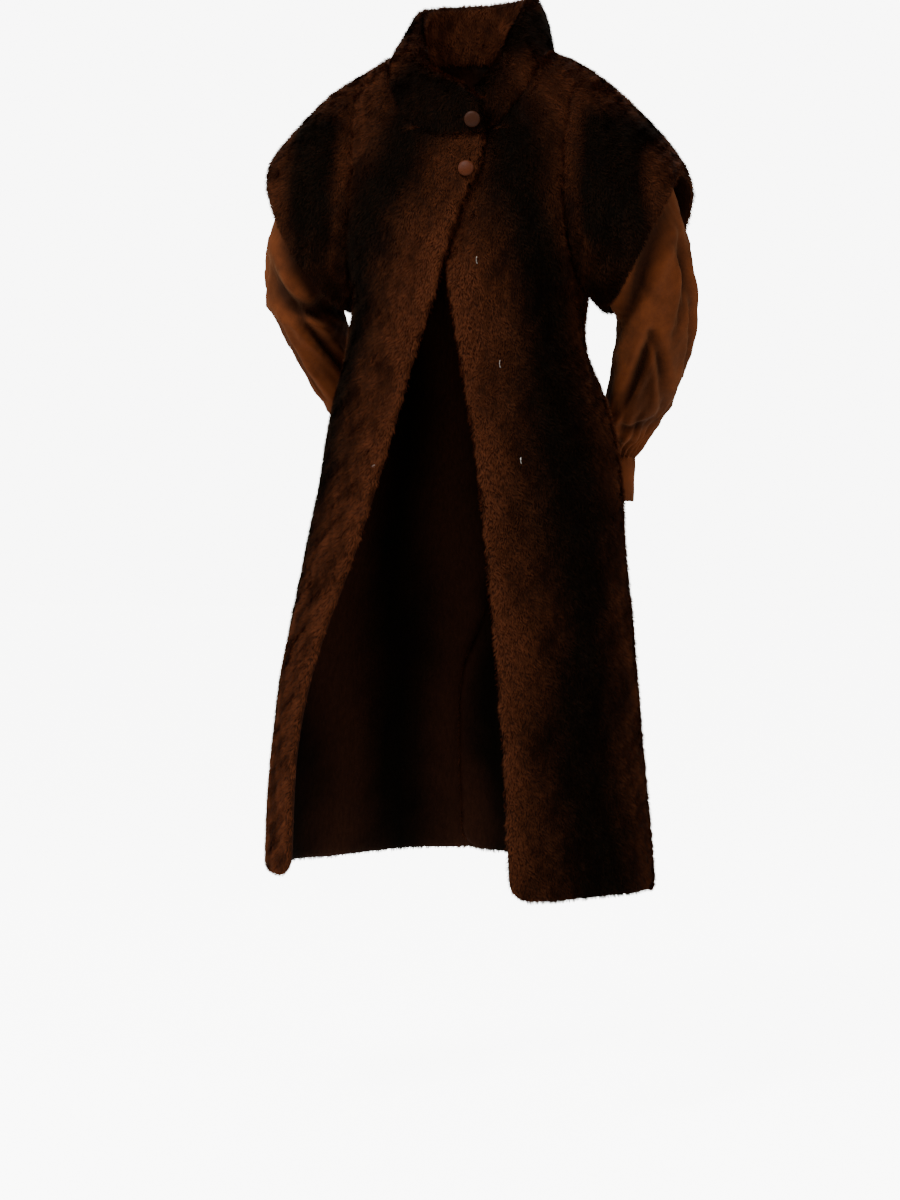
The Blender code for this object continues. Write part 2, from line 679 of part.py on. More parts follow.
def arm_ring(ring, columns):
    """Points round the arm: the outer side first, then front, inner side and back."""
    outer = np.array((ring.out_x, ring.y, ring.out_z))
    inner = np.array((ring.in_x, ring.y, ring.in_z))
    middle = (outer + inner) / 2
    forward = np.array((0.0, -ring.half_front, ring.front_z))
    points = np.zeros((columns, 3))
    for c in range(columns):
        turn = 2.0 * math.pi * c / columns
        spoke = (outer - inner) / 2 * math.cos(turn) + forward * math.sin(turn)
        wave = ring.gather * GATHER_DEPTH * math.cos(SLEEVE_GATHERS * turn)
        points[c] = middle + spoke + wave * unit(spoke)
    return points


def sleeve_grid(side, cap, cap_walls):
    """The outer points of a sleeve: its head is sewn in 0.3 mm below the inner face of the cap."""
    columns = cap.shape[1]
    rings = []
    for k, gap in enumerate(SLEEVE_EASE, SLEEVE_HEAD):
        rings.append(cap[k] - cap_walls[k] * (1.0 + (SEAM_GAP + gap) / FUR_THICKNESS))
    rings += [arm_ring(ring, columns) for ring in ARM_RINGS[side]]
    grid = np.array(rings)
    normals = grid_normals(grid, True)
    normals[0] = cap_walls[SLEEVE_HEAD] / FUR_THICKNESS
    level = normals[-1] * np.array((1.0, 1.0, 0.0))
    normals[-1] = level / np.linalg.norm(level, axis=1, keepdims=True)
    return grid, SUEDE_THICKNESS * normals


def cuff_grid(sleeve_end):
    """The outer points of a cuff, straight down from the sleeve's end."""
    middle = sleeve_end.mean(axis=0)
    rows = []
    for share in (0.0, 0.5, 1.0):
        ring = middle + (sleeve_end - middle) * (1.0 - (1.0 - CUFF_TAPER) * share)
        ring[:, 2] = sleeve_end[:, 2] - SEAM_GAP - CUFF_LENGTH * share
        rows.append(ring)
    return np.array(rows)


def build_arms(fur, suede):
    """Caps, sleeves and cuffs. It returns the cut of each armhole for the body's panels."""
    cuts = {}
    for side, way in (("left", 1.0), ("right", -1.0)):
        mirror = np.array((way, 1.0, 1.0))
        cap, cap_walls = cap_grid(side)
        sleeve, sleeve_walls = sleeve_grid(side, cap, cap_walls)
        cuff = cuff_grid(sleeve[-1])
        cap_inner, sleeve_inner = cap - cap_walls, sleeve - sleeve_walls
        cuff_inner = cuff - sleeve_walls[-1]
        wall("cap_" + side, cap * mirror, cap_inner * mirror, fur, ("bottom",), closed=True)
        wall("sleeve_" + side, sleeve * mirror, sleeve_inner * mirror, suede, (), closed=True)
        wall("cuff_" + side, cuff * mirror, cuff_inner * mirror, suede, (), closed=True)
        cuts[side] = cap_walls[0] * mirror
    return cuts


# --- Collar ---------------------------------------------------------------------------------------
def collar_columns(panels):
    """(degrees, outer and inner seam point) of the collar, from the lapping end to the end below."""
    neck_front = FRONT_COLUMNS.index(FRONT_NECK)
    neck_back = BACK_COLUMNS.index(BACK_SHOULDER)
    run = [("front_right", c) for c in range(neck_front + 1)]
    run += [("back_right", c) for c in range(neck_back + 1, len(BACK_COLUMNS))]
    run += [("back_left", c) for c in range(len(BACK_COLUMNS) - 2, neck_back, -1)]
    run += [("front_left", c) for c in range(neck_front, COLLAR_START - 1, -1)]
    tops = {
        "front_right": front_top("right"),
        "back_right": back_top("right"),
        "back_left": back_top("left"),
        "front_left": front_top("left"),
    }
    columns = []
    for name, c in run:
        turn = -360.0 if name.endswith("left") else 0.0
        outer, inner = panels[name]
        columns.append((math.degrees(tops[name][c][0]) + turn, outer[0, c], inner[0, c]))
    return columns


def build_collar(material, panels):
    columns = collar_columns(panels)
    base = np.array([outer for _, outer, _ in columns])
    cut = np.array([outer - inner for _, outer, inner in columns])
    up = np.cross(cut, np.gradient(base, axis=0))
    up *= np.where(up[:, 2:] > 0, 1.0, -1.0) / np.linalg.norm(up, axis=1, keepdims=True)
    base = base + SEAM_GAP * up
    outer = np.zeros((len(COLLAR_ROWS), len(columns), 3))
    for c, (degrees, _, _) in enumerate(columns):
        top = np.array([read(COLLAR_TOPS, axis, degrees) for axis in ("x", "y", "height")])
        for r, v in enumerate(COLLAR_ROWS):
            bow = COLLAR_BOW * 4.0 * v * (1.0 - v)
            outer[r, c] = base[c] + (top - base[c]) * v + bow * unit(cut[c])
    normals = grid_normals(outer, False)
    for r, c in np.ndindex(outer.shape[:2]):
        if r > 0 and columns[c][0] < -270.0:
            share = front_lap(outer[r, c][0], LAP_END + LAP_FADE)
            outer[r, c] -= COLLAR_LAP_DROP * share * normals[r, c]
    walls = COLLAR_THICKNESS * grid_normals(outer, False)
    walls[0] = cut
    wall("collar", outer, outer - walls, material, ("bottom", "start", "end"))


# --- Buttons and wire -----------------------------------------------------------------------------
def build_buttons(material):
    """Covered buttons on the lapping front and on the collar above it, lying on the fur."""
    for number, button in enumerate(BUTTONS, 1):
        x = read(FRONT_EDGES, "right_x", button.height) - button.inset
        angle = math.asin(x / read(SECTIONS, "half_width", button.height))
        front = body_normal(angle, button.height)
        normal = unit(front + np.array((0.0, 0.0, button.nod)))
        seat = body_point(angle, button.height) + button.proud * front + BUTTON_SEAT * normal
        sideways = unit(np.cross(normal, (0.0, 0.0, 1.0)))
        upward = np.cross(sideways, normal)
        vertices = [seat]
        for ring in BUTTON_PROFILE:
            for k in range(BUTTON_SIDES):
                turn = 2.0 * math.pi * k / BUTTON_SIDES
                round_rim = math.cos(turn) * sideways + math.sin(turn) * upward
                radius = BUTTON_RADIUS * ring.radius_share
                vertices.append(seat + ring.rise * normal + radius * round_rim)
        vertices.append(seat + BUTTON_PROFILE[-1].rise * 1.04 * normal)
        faces = []
        last = len(BUTTON_PROFILE) - 1
        for k in range(BUTTON_SIDES):
            m = (k + 1) % BUTTON_SIDES
            faces.append([0, 1 + m, 1 + k])
            for r in range(last):
                low, high = 1 + r * BUTTON_SIDES, 1 + (r + 1) * BUTTON_SIDES
                faces.append([low + k, low + m, high + m, high + k])
            faces.append([1 + last * BUTTON_SIDES + k, 1 + last * BUTTON_SIDES + m, len(vertices) - 1])
        link_mesh("button_%d" % number, vertices, faces, material)


def build_fasteners(material):
    """Half loops of wire whose feet stand on the fur."""
    for item in FASTENERS:
        way = 1.0 if item.side == "left" else -1.0
        x = read(FRONT_EDGES, item.side + "_x", item.height) + way * item.inset
        x -= read(SECTIONS, "centre_x", item.height)
        angle = math.asin(x / read(SECTIONS, "half_width", item.height))
        normal = body_normal(angle, item.height)
        seat = body_point(angle, item.height) + (HOOK_WIRE + WIRE_SEAT) * normal
        sideways = unit(np.cross(normal, (0.0, 0.0, 1.0)))
        upward = np.cross(sideways, normal)
        curve = bpy.data.curves.new(item.name, "CURVE")
        curve.dimensions = "3D"
        curve.bevel_depth = HOOK_WIRE
        curve.bevel_resolution = 1
        curve.use_fill_caps = True
        spline = curve.splines.new("POLY")
        turns = [math.pi * k / 8 for k in range(9)]
        spline.points.add(len(turns) - 1)
        for point, turn in zip(spline.points, turns):
            along, off = math.cos(turn), math.sin(turn)
            place = seat + item.tall / 2 * along * upward + item.wide / 2 * off * sideways
            place = place + min(item.tall, item.wide) * 0.5 * off * normal
            point.co = (*place, 1.0)
        curve.materials.append(material)
        made = bpy.data.objects.new(item.name, curve)
        bpy.context.scene.collection.objects.link(made)


# --- Scene ----------------------------------------------------------------------------------------
def make_material(finish):
    material = bpy.data.materials.new(finish.name)
    material.use_nodes = True
    shader = material.node_tree.nodes["Principled BSDF"]
    shader.inputs["Base Color"].default_value = finish.colour
    shader.inputs["Roughness"].default_value = finish.roughness
    shader.inputs["Metallic"].default_value = finish.metallic
    return material


def main():
    for item in list(bpy.data.objects):
        bpy.data.objects.remove(item, do_unlink=True)
    fur = make_material(FUR_FINISH)
    suede = make_material(SUEDE_FINISH)
    panels = build_body(fur, build_arms(fur, suede))
    build_collar(fur, panels)
    build_buttons(make_material(BUTTON_FINISH))
    build_fasteners(make_material(WIRE_FINISH))


if __name__ == "__main__":
    main()
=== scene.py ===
"""Looks of a long faux fur coat with cap shoulders and suede sleeves.

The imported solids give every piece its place. Each fur panel becomes a soft shell with its pile on
it, each sleeve and cuff a suede shell with its creases, and the buttons and wires get finer forms.
The row frame is in metres: the coat's front faces -Y, the wearer's left is +X and +Z is up.
"""

from __future__ import annotations

import json
import logging
import math
from collections.abc import Callable
from dataclasses import dataclass
from enum import Enum

import bmesh
import bpy
import numpy as np
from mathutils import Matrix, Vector

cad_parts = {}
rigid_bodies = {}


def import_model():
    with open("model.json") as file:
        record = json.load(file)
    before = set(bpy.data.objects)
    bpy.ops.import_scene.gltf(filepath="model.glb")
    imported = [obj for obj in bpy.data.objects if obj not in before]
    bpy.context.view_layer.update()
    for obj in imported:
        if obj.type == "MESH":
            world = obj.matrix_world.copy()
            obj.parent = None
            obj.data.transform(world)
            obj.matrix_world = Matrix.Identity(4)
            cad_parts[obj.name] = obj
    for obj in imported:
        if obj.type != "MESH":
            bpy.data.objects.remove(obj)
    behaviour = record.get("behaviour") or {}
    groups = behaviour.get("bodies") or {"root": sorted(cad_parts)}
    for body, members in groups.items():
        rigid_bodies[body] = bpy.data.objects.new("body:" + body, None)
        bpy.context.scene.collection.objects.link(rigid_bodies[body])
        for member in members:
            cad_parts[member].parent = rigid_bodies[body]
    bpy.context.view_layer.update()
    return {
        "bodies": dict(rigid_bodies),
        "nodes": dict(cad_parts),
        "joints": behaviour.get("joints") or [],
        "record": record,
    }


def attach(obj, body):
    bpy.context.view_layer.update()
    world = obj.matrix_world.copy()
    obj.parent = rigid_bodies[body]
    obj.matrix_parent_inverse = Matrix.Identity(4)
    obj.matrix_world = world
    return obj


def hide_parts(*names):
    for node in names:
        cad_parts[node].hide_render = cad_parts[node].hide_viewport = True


LOG = logging.getLogger("coat")
MM = 0.001
BODY = "root"

VIEW_AZIMUTH = 14.0  # degrees that the camera stands to the wearer's left of the coat's front
CAMERA_DISTANCE = 4.5
CAMERA_HEIGHT = -0.657
AIM_HEIGHT = -0.807
AIM_ACROSS = -0.030
VIEW_HEIGHT = 1.8
SENSOR = 36.0
FLOOR_HEIGHT = -1.56
LIGHT_AIM = (0.0, 0.0, -0.6)  # the coat's middle, which every lamp faces

TINY = 1e-9  # added to a length that something is divided by
SLIVER = 1e-12  # the same for a face's area
HALF_FALL = 0.693  # the logarithm of 2: a hump falls to a half at its half width

Point = tuple[float, float, float]
Tree = bpy.types.NodeTree
Socket = bpy.types.NodeSocket
Node = bpy.types.Node
Material = bpy.types.Material
Mesh = bpy.types.Mesh
Piece = bpy.types.Object
Rows = np.ndarray  # one row or one number for each place
Draws = np.random.Generator


# --- Helpers ---
def linear(code: str) -> tuple[float, float, float, float]:
    """Turns an sRGB hex colour into Blender's linear one.

    Args:
        code: Six hex digits after a #.

    Returns:
        Red, green, blue and an alpha of 1.
    """
    channels = [int(code[i : i + 2], 16) / 255 for i in (1, 3, 5)]
    red, green, blue = (
        c / 12.92 if c <= 0.04045 else ((c + 0.055) / 1.055) ** 2.4 for c in channels
    )
    return (red, green, blue, 1.0)


def smooth(value: Rows | float, low: float, high: float) -> Rows:
    """Rises softly from 0 at low to 1 at high; low may lie above high."""
    share = np.clip((np.asarray(value, float) - low) / (high - low), 0.0, 1.0)
    return share * share * (3.0 - 2.0 * share)


def unit(rows: Rows) -> Rows:
    """The same directions, each one unit long."""
    return rows / (np.linalg.norm(rows, axis=1)[:, None] + TINY)


def ripple(points: Rows, length: float, turn: float) -> Rows:
    """Uneven soft waves between about -1 and 1, the same for the same place.

    Args:
        points: Places in metres.
        length: The distance from wave to wave in metres.
        turn: Any number; another one gives other waves.

    Returns:
        One value for each place.
    """
    total = np.zeros(len(points))
    for k in range(5):
        angle = turn * 1.7 + k * 2.399
        tilt = math.sin(turn + 1.3 * k)
        way = np.array([math.cos(angle), math.sin(angle), tilt])
        way /= np.linalg.norm(way)
        step = 2.0 * math.pi / (length * (0.7 + 0.17 * k))
        total += np.sin(points @ way * step + turn * 3.1 + k * 1.9)
    return total / 2.6


@dataclass(frozen=True)
class Rise:
    """A soft rise from nothing at one value to a share at another, which may be the lower one."""

    start: float
    end: float
    share: float = 1.0

    def at(self, values: Rows) -> Rows:
        """How far it has risen at each value."""
        return self.share * smooth(values, self.start, self.end)


@dataclass(frozen=True)
class Hump:
    """A share at the centre, half of it the half width away, and soft to both sides."""

    centre: float
    half: float
    share: float = 1.0

    def at(self, values: Rows) -> Rows:
        """How high it is at each value."""
        return self.share * np.exp(-HALF_FALL * ((values - self.centre) / self.half) ** 2)


@dataclass(frozen=True)
class Waves:
    """Uneven soft waves: their height, the distance from one to the next, and which ones."""

    height: float
    length: float
    turn: float
    upright: float = 1.0  # below 1 they are longer up and down than across

    def at(self, points: Rows) -> Rows:
        """Their height at each place."""
        places = points * np.array([1.0, 1.0, self.upright])
        return self.height * ripple(places, self.length, self.turn)


# --- Finishes ---
def fill_inputs(tree: Tree, node: Node, inputs: dict[str | int, object]) -> None:
    """Gives a node's inputs their values and links.

    Args:
        tree: The material's node tree.
        node: The node.
        inputs: For each input, a value to hold or a socket to link.
    """
    for name, value in inputs.items():
        socket = node.inputs[name]
        if isinstance(value, Socket):
            tree.links.new(value, socket)
        else:
            socket.default_value = value


def add_node(
    tree: Tree,
    kind: str,
    settings: dict[str, object] | None = None,
    inputs: dict[str | int, object] | None = None,
) -> Node:
    """Adds one node with its settings, values and links.

    Args:
        tree: The material's node tree.
        kind: The node's type name.
        settings: Properties of the node itself.
        inputs: For each input, a value to hold or a socket to link.

    Returns:
        The new node.
    """
    node = tree.nodes.new(kind)
    for name, value in (settings or {}).items():
        setattr(node, name, value)
    fill_inputs(tree, node, inputs or {})
    return node


def read_value(tree: Tree, name: str) -> Socket:
    """The socket of a value that write_values kept on the mesh."""
    return add_node(tree, "ShaderNodeAttribute", {"attribute_name": name}).outputs["Fac"]


def read_place(tree: Tree) -> Socket:
    """The socket of the place on the piece, in metres."""
    return add_node(tree, "ShaderNodeTexCoord").outputs["Object"]


def add_noise(
    tree: Tree, place: Socket, length: float, detail: float, roughness: float = 0.5
) -> Socket:
    """Adds fractal noise.

    Args:
        tree: The material's node tree.
        place: The socket of the place that it is read at.
        length: The distance from wave to wave in metres.
        detail: How many times finer waves are added.
        roughness: How strong the finer waves are.

    Returns:
        The noise's socket.
    """
    inputs = {"Vector": place, "Scale": 1.0 / length, "Detail": detail, "Roughness": roughness}
    return add_node(tree, "ShaderNodeTexNoise", None, inputs).outputs[0]


def remap(tree: Tree, value: Socket, ends: dict[str, float]) -> Socket:
    """The socket of a value that is stretched between the given ends of a Map Range node."""
    return add_node(tree, "ShaderNodeMapRange", None, {"Value": value, **ends}).outputs[0]


def mix_colours(tree: Tree, share: Socket, first: object, second: object) -> Socket:
    """Blends two colours, each of them a colour or the socket that gives one.

    Args:
        tree: The material's node tree.
        share: The socket of the second colour's share.
        first: The first colour.
        second: The second colour.

    Returns:
        The blend's socket.
    """
    inputs = {0: share, 6: first, 7: second}
    return add_node(tree, "ShaderNodeMix", {"data_type": "RGBA"}, inputs).outputs[2]


def scale_colour(tree: Tree, colour: Socket, factor: Socket) -> Socket:
    """The socket of a colour made lighter or darker by a factor."""
    inputs = {0: colour, "Scale": factor}
    return add_node(tree, "ShaderNodeVectorMath", {"operation": "SCALE"}, inputs).outputs[0]


def add_bump(
    tree: Tree, height: Socket, depth: float, strength: float, invert: bool = False
) -> Socket:
    """Adds a fine relief.

    Args:
        tree: The material's node tree.
        height: The socket of the relief's height, from 0 to 1.
        depth: How deep the relief is in metres.
        strength: How much of it shows.
        invert: True where 1 is the relief's bottom.

    Returns:
        The socket of the directions that the relief faces.
    """
    inputs = {"Height": height, "Distance": depth, "Strength": strength}
    return add_node(tree, "ShaderNodeBump", {"invert": invert}, inputs).outputs[0]


def new_material(name: str) -> tuple[Material, Tree, Node]:
    """Starts a material.

    Args:
        name: The real material's name.

    Returns:
        The material, its tree and its Principled BSDF.
    """
    material = bpy.data.materials.new(name)
    material.use_nodes = True
    return material, material.node_tree, material.node_tree.nodes["Principled BSDF"]


@dataclass(frozen=True)
class Surface:
    """How a finish takes light: its roughness, its gloss and the sheen of its fibres."""

    roughness: float
    gloss: float
    gloss_tint: str = "#ffffff"
    sheen: float = 0.0
    sheen_roughness: float = 0.5
    sheen_tint: str = "#ffffff"
    ior: float = 1.5

    def inputs(self) -> dict[str | int, object]:
        """Its share of the shader's inputs."""
        return {
            "Roughness": self.roughness,
            "IOR": self.ior,
            "Specular IOR Level": self.gloss,
            "Specular Tint": linear(self.gloss_tint),
            "Sheen Weight": self.sheen,
            "Sheen Roughness": self.sheen_roughness,
            "Sheen Tint": linear(self.sheen_tint),
        }


@dataclass(frozen=True)
class FurFinish:
    """Acrylic faux fur, sheared to a dense plush: dark and rust bands, darker at the roots."""

    name: str = "acrylic_fur"
    rust: str = "#351b10"
    rust_tip: str = "#5c301b"
    dark: str = "#060301"
    dark_tip: str = "#120c06"
    fibre: float = 2.2 * MM  # a real fibre is 0.03 mm: drawn as coarse as the render can show
    fibre_upright: float = 0.35
    fibre_depth: float = 1.2 * MM
    fibre_strength: float = 0.8
    fibre_shades: tuple[float, float] = (0.45, 1.15)  # the backing between its fibres and on them
    surface: Surface = Surface(0.72, 0.05, "#eedcc4", 0.03, 0.4, "#c98a5c")

    def make(self, strands: bool) -> Material:
        """Builds the finish of the pile or of the cloth that it stands on.

        Args:
            strands: True for the pile, whose colour also runs from root to tip.

        Returns:
            The material, which reads the piece's own tone, reach and shade attributes.
        """
        material, tree, shader = new_material(self.name + ("_pile" if strands else "_backing"))
        tone = read_value(tree, "tone")
        base = mix_colours(tree, tone, linear(self.dark), linear(self.rust))
        if strands:
            tip = mix_colours(tree, tone, linear(self.dark_tip), linear(self.rust_tip))
            along = mix_colours(tree, read_value(tree, "reach"), base, tip)
            look = {"Base Color": scale_colour(tree, along, read_value(tree, "shade"))}
        else:
            stretch = {"Vector": read_place(tree), "Scale": (1.0, 1.0, self.fibre_upright)}
            place = add_node(tree, "ShaderNodeMapping", None, stretch).outputs[0]
            fibres = add_noise(tree, place, 2.0 * self.fibre, 2.0)
            low, high = self.fibre_shades
            fade = remap(tree, fibres, {"To Min": low, "To Max": high})
            look = {
                "Base Color": scale_colour(tree, base, fade),
                "Normal": add_bump(tree, fibres, self.fibre_depth, self.fibre_strength),
            }
        fill_inputs(tree, shader, look | self.surface.inputs())
        return material


@dataclass(frozen=True)
class SuedeFinish:
    """Split suede, brushed: a matt brown nap with lighter and darker strokes."""

    name: str = "split_suede"
    light: str = "#71391a"
    deep: str = "#46220e"
    # painted shade: the colour that the troughs of creases and gathers are darkened toward
    crease_shade_colour: str = "#190a03"
    nap: float = 0.9 * MM
    nap_share: float = 0.35  # how much the nap counts beside the strokes
    nap_depth: float = 0.25 * MM
    nap_strength: float = 0.6
    stroke: float = 60.0 * MM
    blend_ends: tuple[float, float] = (0.45, 0.95)  # where the blend is all deep and all light
    surface: Surface = Surface(0.92, 0.1, sheen=0.12, sheen_tint="#d39a62")

    def make(self) -> Material:
        """Builds the suede of the sleeves and cuffs.

        Returns:
            The material, which reads the piece's own attribute of painted shade in its creases.
        """
        material, tree, shader = new_material(self.name)
        place = read_place(tree)
        strokes = add_noise(tree, place, self.stroke, 3.0, 0.6)
        fibres = add_noise(tree, place, 2.0 * self.nap, 3.0, 0.7)
        terms = {0: fibres, 1: self.nap_share, 2: strokes}
        blend = add_node(tree, "ShaderNodeMath", {"operation": "MULTIPLY_ADD"}, terms).outputs[0]
        low, high = self.blend_ends
        share = remap(tree, blend, {"From Min": low, "From Max": high})
        brushed = mix_colours(tree, share, linear(self.deep), linear(self.light))
        # painted shade in the troughs of the creases and gathers
        crease_shade = read_value(tree, "crease_shade")
        look = {
            "Base Color": mix_colours(tree, crease_shade, brushed, linear(self.crease_shade_colour)),
            "Normal": add_bump(tree, fibres, self.nap_depth, self.nap_strength),
        }
        fill_inputs(tree, shader, look | self.surface.inputs())
        return material


@dataclass(frozen=True)
class ButtonLeatherFinish:
    """Smooth lamb leather pressed over a button: a fine grain that takes a soft copper light."""

    name: str = "button_lamb_leather"
    colour: str = "#5a2a12"
    worn: str = "#331607"
    grain: float = 0.8 * MM
    grain_depth: float = 0.15 * MM
    grain_strength: float = 0.5
    surface: Surface = Surface(0.5, 0.12)

    def make(self) -> Material:
        """Builds the leather of a button.

        Returns:
            The material.
        """
        material, tree, shader = new_material(self.name)
        spread = {"Vector": read_place(tree), "Scale": 1.0 / self.grain}
        cells = add_node(tree, "ShaderNodeTexVoronoi", {"feature": "F1"}, spread)
        away = cells.outputs["Distance"]
        look = {
            "Base Color": mix_colours(tree, away, linear(self.colour), linear(self.worn)),
            "Normal": add_bump(tree, away, self.grain_depth, self.grain_strength, invert=True),
        }
        fill_inputs(tree, shader, look | self.surface.inputs())
        return material


@dataclass(frozen=True)
class SteelWireFinish:
    """Drawn and nickelled steel wire: a clean bright line with faint draw marks."""

    name: str = "nickelled_steel_wire"
    colour: str = "#d8d4cc"
    mark: float = 0.4 * MM
    roughness: float = 0.25
    mark_roughness: float = 0.2  # how much rougher the draw marks are

    def make(self) -> Material:
        """Builds the steel of the hook and the eyes.

        Returns:
            The material.
        """
        material, tree, shader = new_material(self.name)
        marks = add_noise(tree, read_place(tree), self.mark, 1.0)
        ends = {"To Min": self.roughness, "To Max": self.roughness + self.mark_roughness}
        look = {
            "Roughness": remap(tree, marks, ends),
            "Base Color": linear(self.colour),
            "Metallic": 1.0,
        }
        fill_inputs(tree, shader, look)
        return material


# --- Cloth shells ---
WELD = 0.01 * MM  # vertices nearer than this become one
JOIN_FOLD = math.radians(50)  # two triangles that fold less than this become one face
JOIN_SKEW = math.radians(80)  # and the corners of that face may stray so far from square
FUR_SHARP = 75.0  # edges that fold more than these degrees, such as the sewn ones, stay sharp
SUEDE_SHARP = 65.0
SMALL_SHARP = 80.0


def shell_mesh(node: Piece, name: str, levels: int, sharp: float) -> Mesh:
    """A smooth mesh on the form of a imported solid.

    Args:
        node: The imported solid.
        name: The new mesh's name.
        levels: How often every face is split and rounded.
        sharp: Edges that fold more than this many degrees stay sharp.

    Returns:
        A closed mesh of four-sided faces, smooth shaded.
    """
    work = bmesh.new()
    work.from_mesh(node.data)
    bmesh.ops.remove_doubles(work, verts=work.verts, dist=WELD)
    bmesh.ops.join_triangles(
        work,
        faces=work.faces,
        angle_face_threshold=JOIN_FOLD,
        angle_shape_threshold=JOIN_SKEW,
    )
    crease = work.edges.layers.float.new("crease_edge")
    for edge in work.edges:
        if len(edge.link_faces) == 2 and edge.calc_face_angle(0.0) > math.radians(sharp):
            edge[crease] = 1.0
    mesh = bpy.data.meshes.new(name)
    work.to_mesh(mesh)
    work.free()
    helper = bpy.data.objects.new(name + "_form", mesh)
    bpy.context.scene.collection.objects.link(helper)
    rounding = helper.modifiers.new("rounding", "SUBSURF")
    rounding.levels = levels
    rounding.render_levels = levels
    bpy.context.view_layer.update()
    graph = bpy.context.evaluated_depsgraph_get()
    rounded = bpy.data.meshes.new_from_object(helper.evaluated_get(graph), depsgraph=graph)
    rounded.name = name
    bpy.data.objects.remove(helper)
    bpy.data.meshes.remove(mesh)
    rounded.materials.clear()
    rounded.polygons.foreach_set("use_smooth", [True] * len(rounded.polygons))
    return rounded


def blade_mesh(name: str, corners: Rows) -> Mesh:
    """A mesh of loose triangles.

    Args:
        name: The new mesh's name.
        corners: Three places for each triangle.

    Returns:
        The mesh, with the corners in the given order.
    """
    count = len(corners)
    mesh = bpy.data.meshes.new(name)
    mesh.vertices.add(count * 3)
    mesh.loops.add(count * 3)
    mesh.polygons.add(count)
    mesh.vertices.foreach_set("co", corners.ravel())
    mesh.loops.foreach_set("vertex_index", np.arange(count * 3, dtype=np.int32))
    mesh.polygons.foreach_set("loop_start", np.arange(0, count * 3, 3, dtype=np.int32))
    mesh.update(calc_edges=True)
    return mesh


def mesh_rows(mesh: Mesh) -> tuple[Rows, Rows]:
    """Reads a mesh's vertices.

    Args:
        mesh: The mesh.

    Returns:
        Their places and the directions that they face, one row each.
    """
    points = np.empty(len(mesh.vertices) * 3)
    normals = np.empty(len(mesh.vertices) * 3, np.float32)
    mesh.vertices.foreach_get("co", points)
    mesh.vertex_normals.foreach_get("vector", normals)
    return points.reshape(-1, 3), normals.reshape(-1, 3).astype(float)


def write_values(mesh: Mesh, name: str, values: Rows) -> None:
    """Keeps one number for each vertex under a name that a material reads."""
    layer = mesh.attributes.new(name, "FLOAT", "POINT")
    layer.data.foreach_set("value", np.ascontiguousarray(values, np.float32))


def place_piece(name: str, mesh: Mesh, material: Material) -> Piece:
    """Puts a mesh in the scene as a piece of the coat.

    Args:
        name: The piece's name.
        mesh: Its mesh, in the row frame.
        material: Its finish.

    Returns:
        The piece, riding on the coat's one body.
    """
    piece = bpy.data.objects.new(name, mesh)
    bpy.context.scene.collection.objects.link(piece)
    mesh.materials.append(material)
    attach(piece, BODY)
    return piece


# --- Colour bands of the fur ---
@dataclass(frozen=True)
class Band:
    """One place on a dark band down the body: its height, its middle's angle and its half width."""

    height: float
    middle: float
    half: float


# Angles are degrees round the body from the front's middle, and the wearer's left side counts up.
LEFT_FRONT_BAND = (
    Band(0.00, 26, 14),
    Band(-0.12, 31, 18),
    Band(-0.27, 38, 17),
    Band(-0.45, 53, 21),
    Band(-0.64, 53, 20),
    Band(-1.00, 52, 21),
    Band(-1.26, 54, 22),
)
RIGHT_FRONT_BAND = (
    Band(0.00, -20, 20),
    Band(-0.12, -25, 22),
    Band(-0.26, -43, 21),
    Band(-0.45, -60, 18),
    Band(-0.64, -67, 13),
    Band(-0.80, -80, 13),
    Band(-1.00, -93, 14),
    Band(-1.26, -100, 15),
)
LEFT_BACK_BAND = (Band(0.0, 132, 14), Band(-0.45, 124, 15), Band(-1.26, 122, 15))
RIGHT_BACK_BAND = (
    Band(0.0, -132, 14),
    Band(-0.45, -128, 15),
    Band(-0.80, -136, 13),
    Band(-1.26, -142, 12),
)
MIDDLE_BACK_BAND = (Band(0.0, 180, 13), Band(-0.60, 180, 11), Band(-1.26, 180, 10))
BODY_BANDS = (LEFT_FRONT_BAND, RIGHT_FRONT_BAND, LEFT_BACK_BAND, RIGHT_BACK_BAND, MIDDLE_BACK_BAND)
BODY_MIDDLE = 0.015  # how far behind the shoulders' line the body's own middle lies
BODY_LINE = (0.0, BODY_MIDDLE, 0.0)
BODY_SQUASH = 0.85  # how deep the body is for its width
BAND_WAVES = (Waves(4.0, 0.26, 1.0), Waves(1.8, 0.06, 2.0))  # degrees that the bands waver by
BAND_EDGE = 2.4  # the higher, the sharper a band's two edges

# A cap's colours change with how far out from the coat's middle they lie, and with the height.
CAP_OUT_WAVES = Waves(0.010, 0.12, 3.0)
CAP_DROP_WAVES = Waves(0.012, 0.15, 4.0)
CAP_LEFT_RIM = Rise(0.272, 0.298, 0.8)
CAP_RIGHT_RIM = Rise(0.238, 0.268, 0.65)
CAP_DARK_OUT = Rise(0.158, 0.200)
CAP_DARK_DROP = Rise(-0.045, -0.105)
CAP_TIP_DROP = Rise(-0.240, -0.330, 0.2)
CAP_SEAM_OUT = Hump(0.162, 0.030, 0.8)
CAP_SEAM_DROP = Rise(-0.16, -0.24)

# The collar's change with the angle, the height and, on its rim, how far the fur faces up, where
# the rim is painted rust as a painted highlight.
COLLAR_WAVES = Waves(4.0, 0.06, 2.0)
COLLAR_DARK = 0.95
RIGHT_LAPEL = Hump(-56.0, 13.0)
RIGHT_LAPEL_HEIGHT = Rise(-0.050, 0.0)
LEFT_LAPEL = Hump(54.0, 20.0, 0.9)
LEFT_LAPEL_HEIGHT = Rise(0.02, -0.02)
COLLAR_TOP = Rise(0.06, 0.095, 0.6)
COLLAR_INSIDE = Hump(20.0, 12.0, 0.5)
COLLAR_LIT_RIM = Rise(0.66, 0.90, 0.9)


